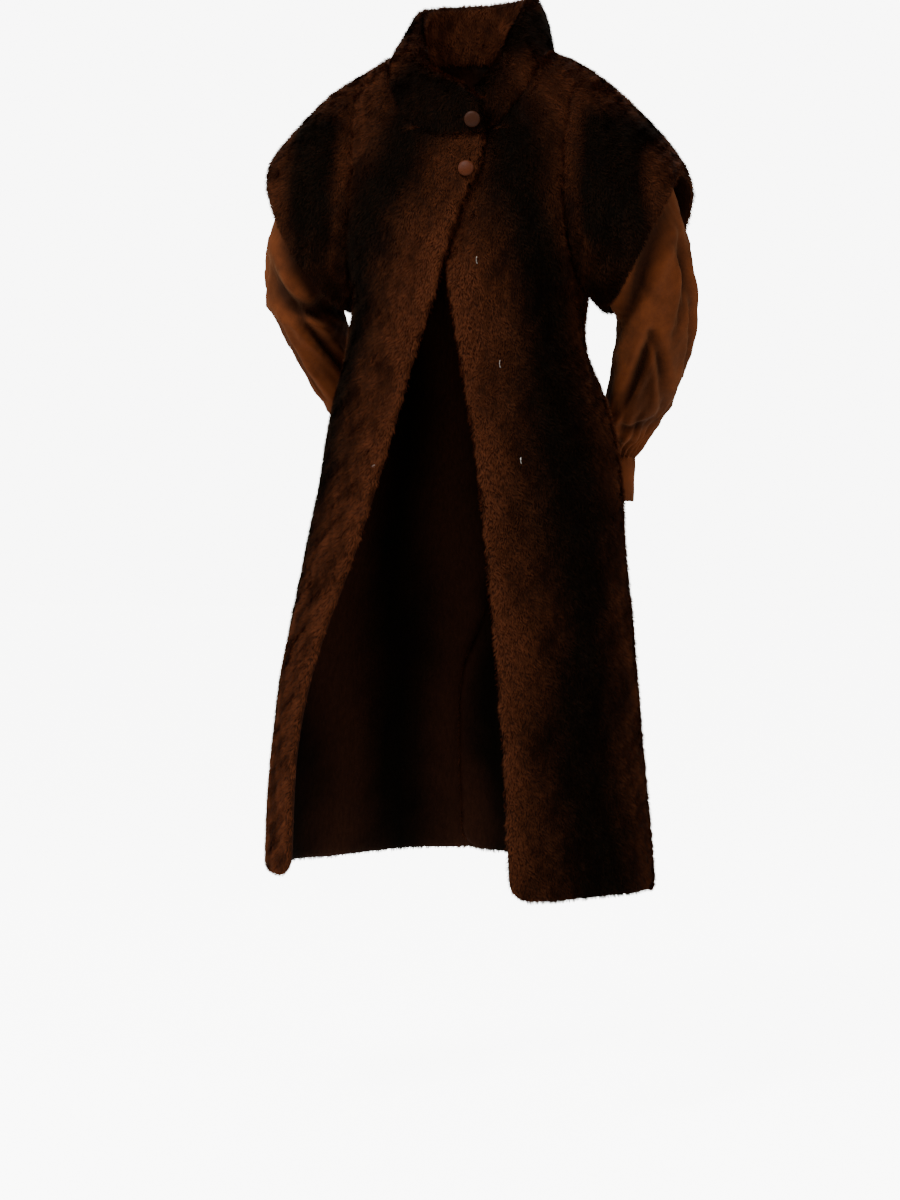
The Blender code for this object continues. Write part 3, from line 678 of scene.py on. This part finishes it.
def body_angle(points: Rows) -> Rows:
    """Degrees round the body from the front's middle, for each place."""
    return np.degrees(np.arctan2(points[:, 0] * BODY_SQUASH, BODY_MIDDLE - points[:, 1]))


def body_tone(points: Rows) -> Rows:
    """Colours the fur of the fronts and the backs.

    Args:
        points: Places on it.

    Returns:
        How rust each is, from 0 on the dark bands to 1 between them.
    """
    angle = body_angle(points)
    angle += BAND_WAVES[0].at(points) + BAND_WAVES[1].at(points)
    dark = np.zeros(len(points))
    for band in BODY_BANDS:
        heights = [-row.height for row in band]
        middle = np.interp(-points[:, 2], heights, [row.middle for row in band])
        half = np.interp(-points[:, 2], heights, [row.half for row in band])
        away = (angle - middle + 180.0) % 360.0 - 180.0
        dark = np.maximum(dark, np.exp(-HALF_FALL * np.abs(away / half) ** BAND_EDGE))
    return 1.0 - dark


def cap_tone(points: Rows) -> Rows:
    """Colours the fur of a shoulder cap: a dark middle under a rust shoulder, and a rust edge.

    Args:
        points: Places on it.

    Returns:
        How rust each is, from 0 to 1.
    """
    out = np.abs(points[:, 0]) + CAP_OUT_WAVES.at(points)
    drop = points[:, 2] + CAP_DROP_WAVES.at(points)
    rim = np.where(points[:, 0] > 0.0, CAP_LEFT_RIM.at(out), CAP_RIGHT_RIM.at(out))
    dark = CAP_DARK_OUT.at(out) * (1.0 - rim)
    dark = dark * CAP_DARK_DROP.at(drop) * (1.0 - CAP_TIP_DROP.at(drop))
    return 1.0 - np.maximum(dark, CAP_SEAM_OUT.at(out) * CAP_SEAM_DROP.at(drop))


def collar_tone(points: Rows, inside: Rows, upward: Rows) -> Rows:
    """Colours the collar's fur: dark outside with rust lapels and edges, and rust inside; the rim
    that faces up is painted rust as a painted highlight.

    Args:
        points: Places on it.
        inside: True for each that faces the neck.
        upward: How far each faces up, from -1 to 1, which sets the painted highlight on the rim.

    Returns:
        How rust each is, from 0 to 1.
    """
    angle = body_angle(points) + COLLAR_WAVES.at(points)
    height = points[:, 2]
    right_lapel = RIGHT_LAPEL.at(angle) * RIGHT_LAPEL_HEIGHT.at(height)
    left_lapel = LEFT_LAPEL.at(angle) * LEFT_LAPEL_HEIGHT.at(height)
    dark = COLLAR_DARK * (1.0 - right_lapel) * (1.0 - left_lapel)
    dark = dark * (1.0 - COLLAR_TOP.at(height))
    dark = np.where(inside, COLLAR_INSIDE.at(angle), dark)
    # painted highlight: the upward-facing rim turns rust
    return 1.0 - dark * (1.0 - COLLAR_LIT_RIM.at(upward))


# --- Fur ---
NECK_FOOT = -0.06  # above this the fur round the neck faces up as well as out
NECK_LEAN = 0.09
INWARD = -0.1  # a place that faces outward less than this is on the inside
SWELL_FACES = Rise(0.3, 0.8)  # how far outward the cloth must face to swell
PILE_FACES = Rise(-0.55, 0.0)  # and to carry pile
LIT_RIM_FACES = Rise(0.68, 0.92, 0.8)  # and how far up, for the painted highlight on the collar's rim, where its pile rolls over
BELOW_NECK = Rise(-0.095, -0.125)  # heights over which the painted highlight on the opening's rolled edge begins
EDGE_ROWS = 60  # level strips in which the opening's edge is looked for
EDGE_REACH = 24 * MM  # how far from the edge the pile rolls over and takes its painted highlight
MAP_SPOT = ((0.08, 0.08), (0.92, 0.08), (0.5, 0.92))  # a strand's corners in its square of the map


class Face(Enum):
    """Which faces of a piece carry pile."""

    OUTER = "outer"
    BOTH = "both"


@dataclass(frozen=True)
class Pile:
    """The pile of a plush faux fur, drawn coarser than it is so that its strands show."""

    length: float = 6.8 * MM
    spread: float = 0.25  # how much shorter or longer than that a strand may be
    width: float = 1.5 * MM
    half_widths: tuple[float, float] = (0.35, 0.65)  # from a strand's middle, as shares of it
    sunk: float = 0.4 * MM
    lift: float = 36.0  # degrees that a strand stands off the cloth
    lift_spread: float = 14.0
    lift_shared: float = 0.6  # how much of that spread a tuft's strands have in common
    outward: float = 0.5  # how far the pile falls outward for each unit down
    stray: float = 0.13  # how far a strand strays from the way of its tuft
    roll: float = 0.25  # radians that a strand turns about its own line
    sway: Waves = Waves(0.35, 55.0 * MM, 6.0)
    tuft: Waves = Waves(0.55, 16.0 * MM, 7.0)
    clump: Waves = Waves(1.0, 20.8 * MM, 8.0, 0.6)

    # Shades are added to a strand's brightness of 1.
    clump_shade: float = 0.30
    broad_shade: Waves = Waves(0.28, 0.050, 10.0, 0.5)
    # painted highlight: the rolled edges and the collar's upward rim are made brighter
    edge_highlight_shade: float = 0.60
    shade_stray: float = 0.11
    root_share: float = 0.62  # the root's part of the strand's brightness, and the tip's
    tip_share: float = 1.12
    shade_ends: tuple[float, float] = (0.2, 1.6)
    # and painted more rust along with that highlight
    edge_highlight_tone: float = 0.85
    tone_stray: float = 0.07


@dataclass
class FurPiece:
    """One cut piece of fur: a soft shell on its solid with the pile that grows on it."""

    node: str
    strands: int
    flat: tuple[float, float]
    area: float
    middle: Point = BODY_LINE
    upright: bool = True  # the piece stands round the body's own line, up and down
    tone: Callable[..., Rows] = body_tone
    faces: Face = Face.OUTER
    opens: int = 0  # 1 or -1 where the opening's edge is the highest or the lowest angle
    swell: Waves = Waves(1.6 * MM, 0.075, 5.0, 0.45)
    levels: int = 2
    pile: Pile = Pile()

    def outward(self, points: Rows, normals: Rows) -> Rows:
        """Measures which way each place faces.

        Args:
            points: The places.
            normals: The way that each faces.

        Returns:
            How much each faces away from the piece's middle, from -1 to 1.
        """
        away = points - np.array(self.middle)
        if self.upright:
            away[:, 2] = np.where(points[:, 2] > NECK_FOOT, NECK_LEAN, 0.0)
        return (unit(away) * normals).sum(1)

    def paint(self, points: Rows, normals: Rows) -> Rows:
        """Colours each place, on a two-sided piece by its side and its edge too.

        Args:
            points: The places.
            normals: The way that each faces.

        Returns:
            How rust each is, from 0 to 1.
        """
        if self.faces is Face.BOTH:
            return self.tone(points, self.outward(points, normals) < INWARD, normals[:, 2])
        return self.tone(points)

    def build_shell(self, node: Piece, finish: Material) -> Piece:
        """Makes the cloth that the pile stands on.

        Args:
            node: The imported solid.
            finish: The backing's material.

        Returns:
            The shell, which stands for the solid.
        """
        mesh = shell_mesh(node, "fur_" + self.node, self.levels, FUR_SHARP)
        points, normals = mesh_rows(mesh)
        swell = self.swell.at(points) * SWELL_FACES.at(self.outward(points, normals))
        points += normals * swell[:, None]
        mesh.vertices.foreach_set("co", points.ravel())
        mesh.update()
        write_values(mesh, "tone", self.paint(points, normals))
        shell = place_piece("fur_" + self.node, mesh, finish)
        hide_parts(self.node)
        return shell

    def roots(self, mesh: Mesh, random: Draws) -> tuple[Rows, Rows]:
        """Spreads the strands' roots evenly over the furred faces.

        Args:
            mesh: The shell.
            random: Seeded draws.

        Returns:
            The roots' places and the directions that the cloth faces there.
        """
        mesh.calc_loop_triangles()
        corners = np.empty(len(mesh.loop_triangles) * 3, np.int32)
        mesh.loop_triangles.foreach_get("vertices", corners)
        corners = corners.reshape(-1, 3)
        points, normals = mesh_rows(mesh)
        triangle = points[corners]
        cross = np.cross(triangle[:, 1] - triangle[:, 0], triangle[:, 2] - triangle[:, 0])
        size = np.linalg.norm(cross, axis=1)
        outward = self.outward(triangle.mean(1), cross / (size[:, None] + SLIVER))
        if self.faces is Face.OUTER:
            size = size * PILE_FACES.at(outward)
        ladder = np.cumsum(size)
        steps = (np.arange(self.strands) + random.random(self.strands)) / self.strands
        chosen = np.searchsorted(ladder, steps * ladder[-1]).clip(0, len(size) - 1)
        first, second = random.random((2, self.strands))
        over = first + second > 1.0
        first[over], second[over] = 1.0 - first[over], 1.0 - second[over]
        share = np.stack([1.0 - first - second, first, second], axis=1)[:, :, None]
        place = (points[corners[chosen]] * share).sum(1)
        return place, unit((normals[corners[chosen]] * share).sum(1))

    def comb(self, place: Rows, facing: Rows) -> Rows:
        """Lays the pile down and away from the neck, swaying a little.

        Args:
            place: The strands' roots.
            facing: The way that the cloth faces at each.

        Returns:
            The way that the pile lies at each root, along the cloth.
        """
        fall = place - np.array(BODY_LINE)
        fall[:, 2] = 0.0
        fall = unit(fall) * self.pile.outward
        fall[:, 2] = -1.0
        side = unit(np.cross(facing, fall))
        fall = unit(fall - facing * (fall * facing).sum(1)[:, None])
        turn = self.pile.sway.at(place) + self.pile.tuft.at(place)
        return fall + side * turn[:, None]

    def stand(self, place: Rows, facing: Rows, random: Draws) -> Rows:
        """Stands one narrow three-cornered blade on each root.

        Args:
            place: The roots.
            facing: The way that the cloth faces at each.
            random: Seeded draws.

        Returns:
            Each blade's corners: the two at its root and its tip.
        """
        pile, count = self.pile, self.strands
        way = self.comb(place, facing) + random.normal(0.0, pile.stray, (count, 3))
        way = unit(way - facing * (way * facing).sum(1)[:, None])
        lean = pile.lift_shared * pile.clump.at(place) + random.uniform(-1, 1, count)
        lift = np.radians(pile.lift + pile.lift_spread * lean)
        length = pile.length * (1.0 + pile.spread * random.uniform(-1, 1, count))
        axis = way * np.cos(lift)[:, None] + facing * np.sin(lift)[:, None]
        roll = random.normal(0.0, pile.roll, count)[:, None]
        side = unit(np.cross(axis, facing)) * np.cos(roll) + facing * np.sin(roll)
        half = side * (pile.width * random.uniform(*pile.half_widths, count))[:, None]
        root = place - facing * pile.sunk
        return np.stack([root - half, root + half, place + axis * length[:, None]], axis=1)

    def edge_highlight(self, place: Rows, facing: Rows) -> Rows:
        """Finds the free edges, where the pile rolls over, for a painted highlight there.

        Args:
            place: The strands' roots.
            facing: The way that the cloth faces at each.

        Returns:
            How near each root is to an edge, or on the collar how far it faces up: its share of the
            painted highlight, from 0 to 1.
        """
        if self.faces is Face.BOTH:
            return LIT_RIM_FACES.at(facing[:, 2])
        if not self.opens:
            return np.zeros(len(place))
        angle, height = body_angle(place) * self.opens, place[:, 2]
        row = np.digitize(height, np.linspace(height.min(), height.max(), EDGE_ROWS))
        edge = np.array([angle[row == k].max(initial=-180.0) for k in range(EDGE_ROWS + 1)])
        radius = np.hypot(place[:, 0], place[:, 1] - BODY_MIDDLE)
        away = np.radians(edge[row] - angle) * radius / EDGE_REACH
        return BELOW_NECK.at(height) * np.exp(-(away**2))

    def tint(self, place: Rows, facing: Rows, random: Draws) -> tuple[Rows, Rows]:
        """Colours the strands.

        Args:
            place: Their roots.
            facing: The way that the cloth faces at each.
            random: Seeded draws.

        Returns:
            How rust each strand is, and how bright.
        """
        pile, count = self.pile, self.strands
        tone = self.paint(place, facing) + random.normal(0.0, pile.tone_stray, count)
        # painted highlight on the opening's edges and the collar's upward rim
        edge_highlight = self.edge_highlight(place, facing)
        tone = np.maximum(tone, pile.edge_highlight_tone * edge_highlight).clip(0.0, 1.0)
        shade = 1.0 + pile.clump_shade * pile.clump.at(place) + pile.broad_shade.at(place)
        shade += pile.edge_highlight_shade * edge_highlight + random.normal(0.0, pile.shade_stray, count)
        return tone, shade

    def lay_out(self, mesh: Mesh) -> None:
        """Gives every strand its own square of a map named OFBake.

        Args:
            mesh: The strands.
        """
        across = math.ceil(math.sqrt(self.strands))
        column, row = np.arange(self.strands) % across, np.arange(self.strands) // across
        spots = (np.stack([column, row], axis=1)[:, None, :] + np.array(MAP_SPOT)) / across
        layer = mesh.uv_layers.new(name="OFBake")
        layer.data.foreach_set("uv", spots.astype(np.float32).ravel())

    def build_pile(self, shell: Piece, finish: Material) -> Piece:
        """Grows the pile.

        Args:
            shell: The piece's cloth.
            finish: The pile's material.

        Returns:
            The joined strands as one piece.
        """
        random = np.random.default_rng(sum(ord(letter) for letter in self.node))
        place, facing = self.roots(shell.data, random)
        mesh = blade_mesh("pile_" + self.node, self.stand(place, facing, random))
        tone, shade = self.tint(place, facing, random)
        root, tip = shade * self.pile.root_share, shade * self.pile.tip_share
        ends = np.stack([root, root, tip], axis=1).clip(*self.pile.shade_ends)
        write_values(mesh, "tone", np.repeat(tone, 3))
        write_values(mesh, "reach", np.tile([0.0, 0.0, 1.0], self.strands))
        write_values(mesh, "shade", ends.ravel())
        self.lay_out(mesh)
        return place_piece("pile_" + self.node, mesh, finish)

    def build(self, frame: dict, backing: Material, strands: Material) -> None:
        """Args:
            frame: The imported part.
            backing: The cloth's material.
            strands: The pile's material.
        """
        shell = self.build_shell(frame["nodes"][self.node], backing)
        grown = self.build_pile(shell, strands)
        LOG.info("%s: %d faces, %d strands", shell.name, len(shell.data.polygons), self.strands)


# --- Suede ---
CREASE_STEPS = 25  # places along a crease that the cloth's distance is measured from
CREASE_TAPER = (0.12, 0.76)  # the part of a half wave that a crease's depth follows along it
CREASE_FACES = Rise(-0.05, 0.45)  # how far the cloth must face a crease's side to take it
LIP_HEIGHT = 0.35  # of the ridge that runs beside a crease, as a share of its depth
LIP_AWAY = 1.9  # how far off that ridge runs, in crease widths
LIP_WIDTH = 0.8
TUBE_RINGS = 24  # heights at which a tube's middle is worked out
TUBE_PAD = 20 * MM


class Side(Enum):
    """The side that a crease is drawn from, as degrees round the coat from its front."""

    FRONT = VIEW_AZIMUTH
    BACK = 180.0
    LEFT = 90.0
    RIGHT = -90.0


@dataclass(frozen=True)
class Crease:
    """A soft trough with a low ridge beside it, along three points seen from one side.

    A point is (across, up) in metres: across runs to the right of who looks at that side.
    """

    side: Side
    start: tuple[float, float]
    middle: tuple[float, float]
    end: tuple[float, float]
    depth: float
    width: float

    def press(self, points: Rows, normals: Rows) -> Rows:
        """Presses the crease into a cloth.

        Args:
            points: Places on the cloth.
            normals: The way that each faces.

        Returns:
            How far each place goes inward, in metres.
        """
        turn = math.radians(self.side.value)
        across = points[:, 0] * math.cos(turn) + points[:, 1] * math.sin(turn)
        toward = normals[:, 0] * math.sin(turn) - normals[:, 1] * math.cos(turn)
        flat = np.stack([across, points[:, 2]], axis=1)
        steps = np.linspace(0.0, 1.0, CREASE_STEPS)[:, None]
        start, middle, end = (np.array(p) for p in (self.start, self.middle, self.end))
        bend = 2.0 * middle - (start + end) / 2.0
        line = (1 - steps) ** 2 * start + 2 * steps * (1 - steps) * bend + steps**2 * end
        gaps = np.linalg.norm(flat[:, None, :] - line[None], axis=2)
        along = steps[gaps.argmin(1), 0]
        first, part = CREASE_TAPER
        taper = np.sin(np.pi * np.clip(first + part * along, 0, 1))
        away = gaps.min(1) / self.width
        lip = LIP_HEIGHT * np.exp(-(((away - LIP_AWAY) / LIP_WIDTH) ** 2))
        return self.depth * taper * (np.exp(-(away**2)) - lip) * CREASE_FACES.at(toward)


@dataclass
class SuedePiece:
    """A sleeve or cuff: a suede shell on its solid, with the creases pressed into it."""

    node: str
    flat: tuple[float, float]
    area: float
    creases: tuple[Crease, ...] = ()
    gathers: int = 0
    gather_depth: float = 2.6 * MM
    gather_rise: float = 0.11  # how high above the foot they begin, and where they are full
    gather_full: float = 0.02
    gather_waves: Waves = Waves(1.1, 0.05, 12.0)  # radians that they waver by
    # painted shade in the gathers' troughs, as a share
    gather_shade: float = 0.35
    rumple: Waves = Waves(1.2 * MM, 0.045, 9.0)
    fine_rumple: Waves = Waves(0.6 * MM, 0.017, 11.0)
    crease_shade_depth: float = 12 * MM  # a trough this deep gets the full painted shade
    crease_shade_most: float = 0.85
    levels: int = 3

    def from_middle(self, points: Rows) -> Rows:
        """The level way from the tube's middle out to each place, one unit long.

        Args:
            points: The shell's vertices.

        Returns:
            One direction for each, the same for both faces of the cloth.
        """
        heights = points[:, 2]
        levels = np.linspace(heights.min(), heights.max(), TUBE_RINGS)
        pad = max(levels[1] - levels[0], TUBE_PAD)
        away = np.zeros_like(points)
        for axis in range(2):
            centres = []
            for level in levels:
                near = points[np.abs(heights - level) < pad][:, axis]
                centres.append((near.min() + near.max()) / 2.0)
            away[:, axis] = points[:, axis] - np.interp(heights, levels, centres)
        return unit(away)

    def fold(self, points: Rows, away: Rows) -> tuple[Rows, Rows]:
        """Works out the rumples, the creases and the gathers.

        Args:
            points: The shell's vertices.
            away: The way from the tube's middle out to each.

        Returns:
            How far each vertex goes outward in metres, and how much painted shade darkens it in the
            troughs.
        """
        shift = self.rumple.at(points) + self.fine_rumple.at(points)
        crease_shade = np.zeros(len(points))
        for crease in self.creases:
            pressed = crease.press(points, away)
            shift = shift - pressed
            # a crease's depth becomes painted shade in its trough
            crease_shade = crease_shade + np.maximum(pressed, 0.0) / self.crease_shade_depth
        if self.gathers:
            foot = points[:, 2].min()
            low = smooth(points[:, 2], foot + self.gather_rise, foot + self.gather_full)
            turn = np.arctan2(away[:, 1], away[:, 0]) * self.gathers
            wave = np.cos(turn + self.gather_waves.at(points)) * low
            shift = shift + self.gather_depth * wave
            crease_shade = crease_shade + self.gather_shade * np.maximum(-wave, 0.0)
        return shift, crease_shade.clip(0.0, self.crease_shade_most)

    def build(self, frame: dict, finish: Material) -> None:
        """Args:
            frame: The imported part.
            finish: The suede.
        """
        solid = frame["nodes"][self.node]
        mesh = shell_mesh(solid, "suede_" + self.node, self.levels, SUEDE_SHARP)
        points, normals = mesh_rows(mesh)
        away = self.from_middle(points)
        shift, crease_shade = self.fold(points, away)
        sign = np.where((away * normals).sum(1) < 0.0, -1.0, 1.0)
        moved = points + normals * (sign * shift)[:, None]
        mesh.vertices.foreach_set("co", moved.ravel())
        mesh.update()
        # painted shade, darkest in the troughs of creases and gathers
        write_values(mesh, "crease_shade", crease_shade)
        shell = place_piece("suede_" + self.node, mesh, finish)
        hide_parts(self.node)
        LOG.info("%s: %d faces, %d creases", shell.name, len(mesh.polygons), len(self.creases))


# --- Buttons and wires ---
@dataclass
class SmallPiece:
    """A button, hook or eye: its solid, rounded."""

    node: str
    prefix: str
    slot: str
    levels: int

    def build(self, frame: dict, finish: Material) -> None:
        """Makes the piece.

        Args:
            frame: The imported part.
            finish: Its material.
        """
        name = self.prefix + self.node
        mesh = shell_mesh(frame["nodes"][self.node], name, self.levels, SMALL_SHARP)
        piece = place_piece(name, mesh, finish)
        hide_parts(self.node)
        LOG.info("%s: %d faces", piece.name, len(mesh.polygons))


LEFT_SLEEVE_CREASES = (
    Crease(Side.FRONT, (0.300, -0.205), (0.257, -0.305), (0.214, -0.415), 14 * MM, 13 * MM),
    Crease(Side.FRONT, (0.267, -0.412), (0.248, -0.465), (0.224, -0.525), 13 * MM, 8 * MM),
    Crease(Side.FRONT, (0.268, -0.415), (0.285, -0.465), (0.290, -0.520), 9 * MM, 7 * MM),
    Crease(Side.FRONT, (0.266, -0.450), (0.262, -0.490), (0.252, -0.540), 8 * MM, 20 * MM),
    Crease(Side.FRONT, (0.301, -0.250), (0.317, -0.335), (0.300, -0.415), 8 * MM, 6 * MM),
    Crease(Side.FRONT, (0.250, -0.330), (0.262, -0.352), (0.292, -0.362), 4 * MM, 7 * MM),
    Crease(Side.FRONT, (0.222, -0.545), (0.250, -0.552), (0.285, -0.530), 8 * MM, 6 * MM),
    Crease(Side.LEFT, (0.060, -0.300), (0.095, -0.400), (0.145, -0.520), 11 * MM, 12 * MM),
    Crease(Side.LEFT, (-0.010, -0.280), (0.045, -0.380), (0.110, -0.500), 7 * MM, 10 * MM),
    Crease(Side.BACK, (-0.290, -0.300), (-0.275, -0.400), (-0.215, -0.540), 12 * MM, 13 * MM),
    Crease(Side.BACK, (-0.240, -0.330), (-0.225, -0.430), (-0.190, -0.550), 8 * MM, 10 * MM),
)
RIGHT_SLEEVE_CREASES = (
    Crease(Side.FRONT, (-0.290, -0.240), (-0.256, -0.312), (-0.198, -0.372), 14 * MM, 13 * MM),
    Crease(Side.FRONT, (-0.302, -0.298), (-0.262, -0.366), (-0.168, -0.352), 15 * MM, 12 * MM),
    Crease(Side.FRONT, (-0.272, -0.368), (-0.230, -0.412), (-0.186, -0.460), 11 * MM, 7 * MM),
    Crease(Side.FRONT, (-0.300, -0.372), (-0.268, -0.440), (-0.222, -0.505), 8 * MM, 6 * MM),
    Crease(Side.FRONT, (-0.248, -0.372), (-0.215, -0.386), (-0.178, -0.402), 5 * MM, 7 * MM),
    Crease(Side.RIGHT, (-0.060, -0.300), (-0.095, -0.400), (-0.145, -0.520), 11 * MM, 12 * MM),
    Crease(Side.RIGHT, (0.010, -0.280), (-0.045, -0.380), (-0.110, -0.500), 7 * MM, 10 * MM),
    Crease(Side.BACK, (0.285, -0.300), (0.265, -0.400), (0.210, -0.540), 12 * MM, 13 * MM),
    Crease(Side.BACK, (0.235, -0.330), (0.220, -0.430), (0.185, -0.550), 8 * MM, 10 * MM),
)


# --- Light, floor and camera ---
@dataclass(frozen=True)
class SoftBox:
    """One square lamp that faces the coat: its place, its side in metres and its watts."""

    name: str
    place: Point
    size: float
    power: float

    def build(self) -> None:
        """Hangs the lamp."""
        lamp = bpy.data.lights.new(self.name, "AREA")
        lamp.shape = "SQUARE"
        lamp.size = self.size
        lamp.energy = self.power
        box = bpy.data.objects.new(self.name, lamp)
        box.location = self.place
        aim = Vector(LIGHT_AIM) - Vector(self.place)
        box.rotation_euler = aim.to_track_quat("-Z", "Y").to_euler()
        bpy.context.scene.collection.objects.link(box)


SOFT_BOXES = (
    SoftBox("key_box", (-1.2, -2.7, 3.2), 1.2, 220.0),
    SoftBox("left_box", (3.0, -1.7, 1.6), 1.2, 62.0),
    SoftBox("right_box", (-3.0, -1.3, 1.4), 1.2, 46.0),
    SoftBox("back_box", (0.0, 2.2, 2.6), 2.5, 50.0),
)


@dataclass
class Studio:
    """A pale floor under pale air with soft boxes, and the camera at the photo's angle."""

    boxes: tuple[SoftBox, ...] = SOFT_BOXES
    floor_size: float = 40.0
    paper: str = "#f7f7f6"
    paper_roughness: float = 0.9
    glow: float = 9.0  # how bright paper and air are to the lens, as for a cut-out picture
    paper_light: float = 0.2  # how much light the paper gives the coat, and the air
    air_light: float = 0.15

    def lens_only(self, tree: Tree, dim: float) -> Socket:
        """A strength that is bright where the lens sees it and dim where it lights the coat."""
        path = add_node(tree, "ShaderNodeLightPath")
        return remap(tree, path.outputs["Is Camera Ray"], {"To Min": dim, "To Max": self.glow})

    def build_floor(self) -> None:
        """Lays the floor."""
        side = self.floor_size / 2
        corners = [(-side, -side), (side, -side), (side, side), (-side, side)]
        mesh = bpy.data.meshes.new("paper_floor")
        mesh.from_pydata([(x, y, FLOOR_HEIGHT) for x, y in corners], [], [(0, 1, 2, 3)])
        material, tree, shader = new_material("seamless_paper")
        look = {
            "Base Color": linear(self.paper),
            "Roughness": self.paper_roughness,
            "Emission Color": linear(self.paper),
            "Emission Strength": self.lens_only(tree, self.paper_light),
        }
        fill_inputs(tree, shader, look)
        mesh.materials.append(material)
        floor = bpy.data.objects.new("paper_floor", mesh)
        bpy.context.scene.collection.objects.link(floor)

    def build_air(self) -> None:
        """Fills the room with pale air."""
        world = bpy.data.worlds.new("studio_air")
        world.use_nodes = True
        tree = world.node_tree
        look = {"Color": linear(self.paper), "Strength": self.lens_only(tree, self.air_light)}
        fill_inputs(tree, tree.nodes["Background"], look)
        bpy.context.scene.world = world

    def build_camera(self) -> None:
        """Stands the camera where the photo was taken from."""
        turn = math.radians(VIEW_AZIMUTH)
        right = Vector((math.cos(turn), math.sin(turn), 0.0))
        back = Vector((math.sin(turn), -math.cos(turn), 0.0))
        lens = bpy.data.cameras.new("photo_camera")
        lens.sensor_fit = "VERTICAL"
        lens.sensor_height = SENSOR
        lens.lens = SENSOR * CAMERA_DISTANCE / VIEW_HEIGHT
        camera = bpy.data.objects.new("photo_camera", lens)
        foot = right * AIM_ACROSS
        camera.location = foot + back * CAMERA_DISTANCE + Vector((0.0, 0.0, CAMERA_HEIGHT))
        aim = foot + Vector((0.0, 0.0, AIM_HEIGHT))
        camera.rotation_euler = (aim - camera.location).to_track_quat("-Z", "Y").to_euler()
        bpy.context.scene.collection.objects.link(camera)
        bpy.context.scene.camera = camera

    def build(self) -> None:
        """Builds the studio."""
        self.build_floor()
        self.build_air()
        for box in self.boxes:
            box.build()
        self.build_camera()


# --- The coat ---
LEFT_ARM, RIGHT_ARM = (0.195, 0.035, -0.20), (-0.195, 0.035, -0.20)  # the caps' middles
FUR_PIECES = (
    FurPiece("front_left", 129_000, (0.36, 1.28), 0.30, opens=-1, levels=1),
    FurPiece("front_right", 107_000, (0.34, 1.28), 0.25, opens=1, levels=1),
    FurPiece("back_left", 144_000, (0.45, 1.25), 0.40, levels=1),
    FurPiece("back_right", 144_000, (0.45, 1.25), 0.40, levels=1),
    FurPiece("cap_left", 56_000, (0.42, 0.40), 0.12, LEFT_ARM, False, cap_tone),
    FurPiece("cap_right", 56_000, (0.42, 0.40), 0.11, RIGHT_ARM, False, cap_tone),
    FurPiece("collar", 72_000, (0.75, 0.13), 0.072, tone=collar_tone, faces=Face.BOTH),
)
SUEDE_PIECES = (
    SuedePiece("sleeve_left", (0.46, 0.52), 0.22, LEFT_SLEEVE_CREASES, 15),
    SuedePiece("sleeve_right", (0.46, 0.52), 0.215, RIGHT_SLEEVE_CREASES, 14),
    SuedePiece("cuff_left", (0.21, 0.07), 0.0135, levels=2),
    SuedePiece("cuff_right", (0.20, 0.07), 0.0130, levels=2),
)
BUTTON_FINISHES = {
    # painted shade: the upper button is a darker copy of the same leather, for the collar's shade
    # over it
    "button_1": ButtonLeatherFinish("button_lamb_leather_shaded", "#40200f", "#261207"),
    "button_2": ButtonLeatherFinish(),
}
WIRES = ("eye_top", "eye_middle", "eye_low", "hook")


def main() -> None:
    """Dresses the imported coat, piece by piece."""
    logging.basicConfig(level=logging.INFO, format="%(name)s: %(message)s")
    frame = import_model()
    fur = FurFinish()
    backing, strands = fur.make(False), fur.make(True)
    for fur_piece in FUR_PIECES:
        fur_piece.build(frame, backing, strands)
    suede = SuedeFinish().make()
    for suede_piece in SUEDE_PIECES:
        suede_piece.build(frame, suede)
    for name, finish in BUTTON_FINISHES.items():
        SmallPiece(name, "covered_", "button_leather", 2).build(frame, finish.make())
    steel = SteelWireFinish().make()
    for name in WIRES:
        SmallPiece(name, "wire_", "wire", 1).build(frame, steel)
    Studio().build()


if __name__ == "__main__":
    main()
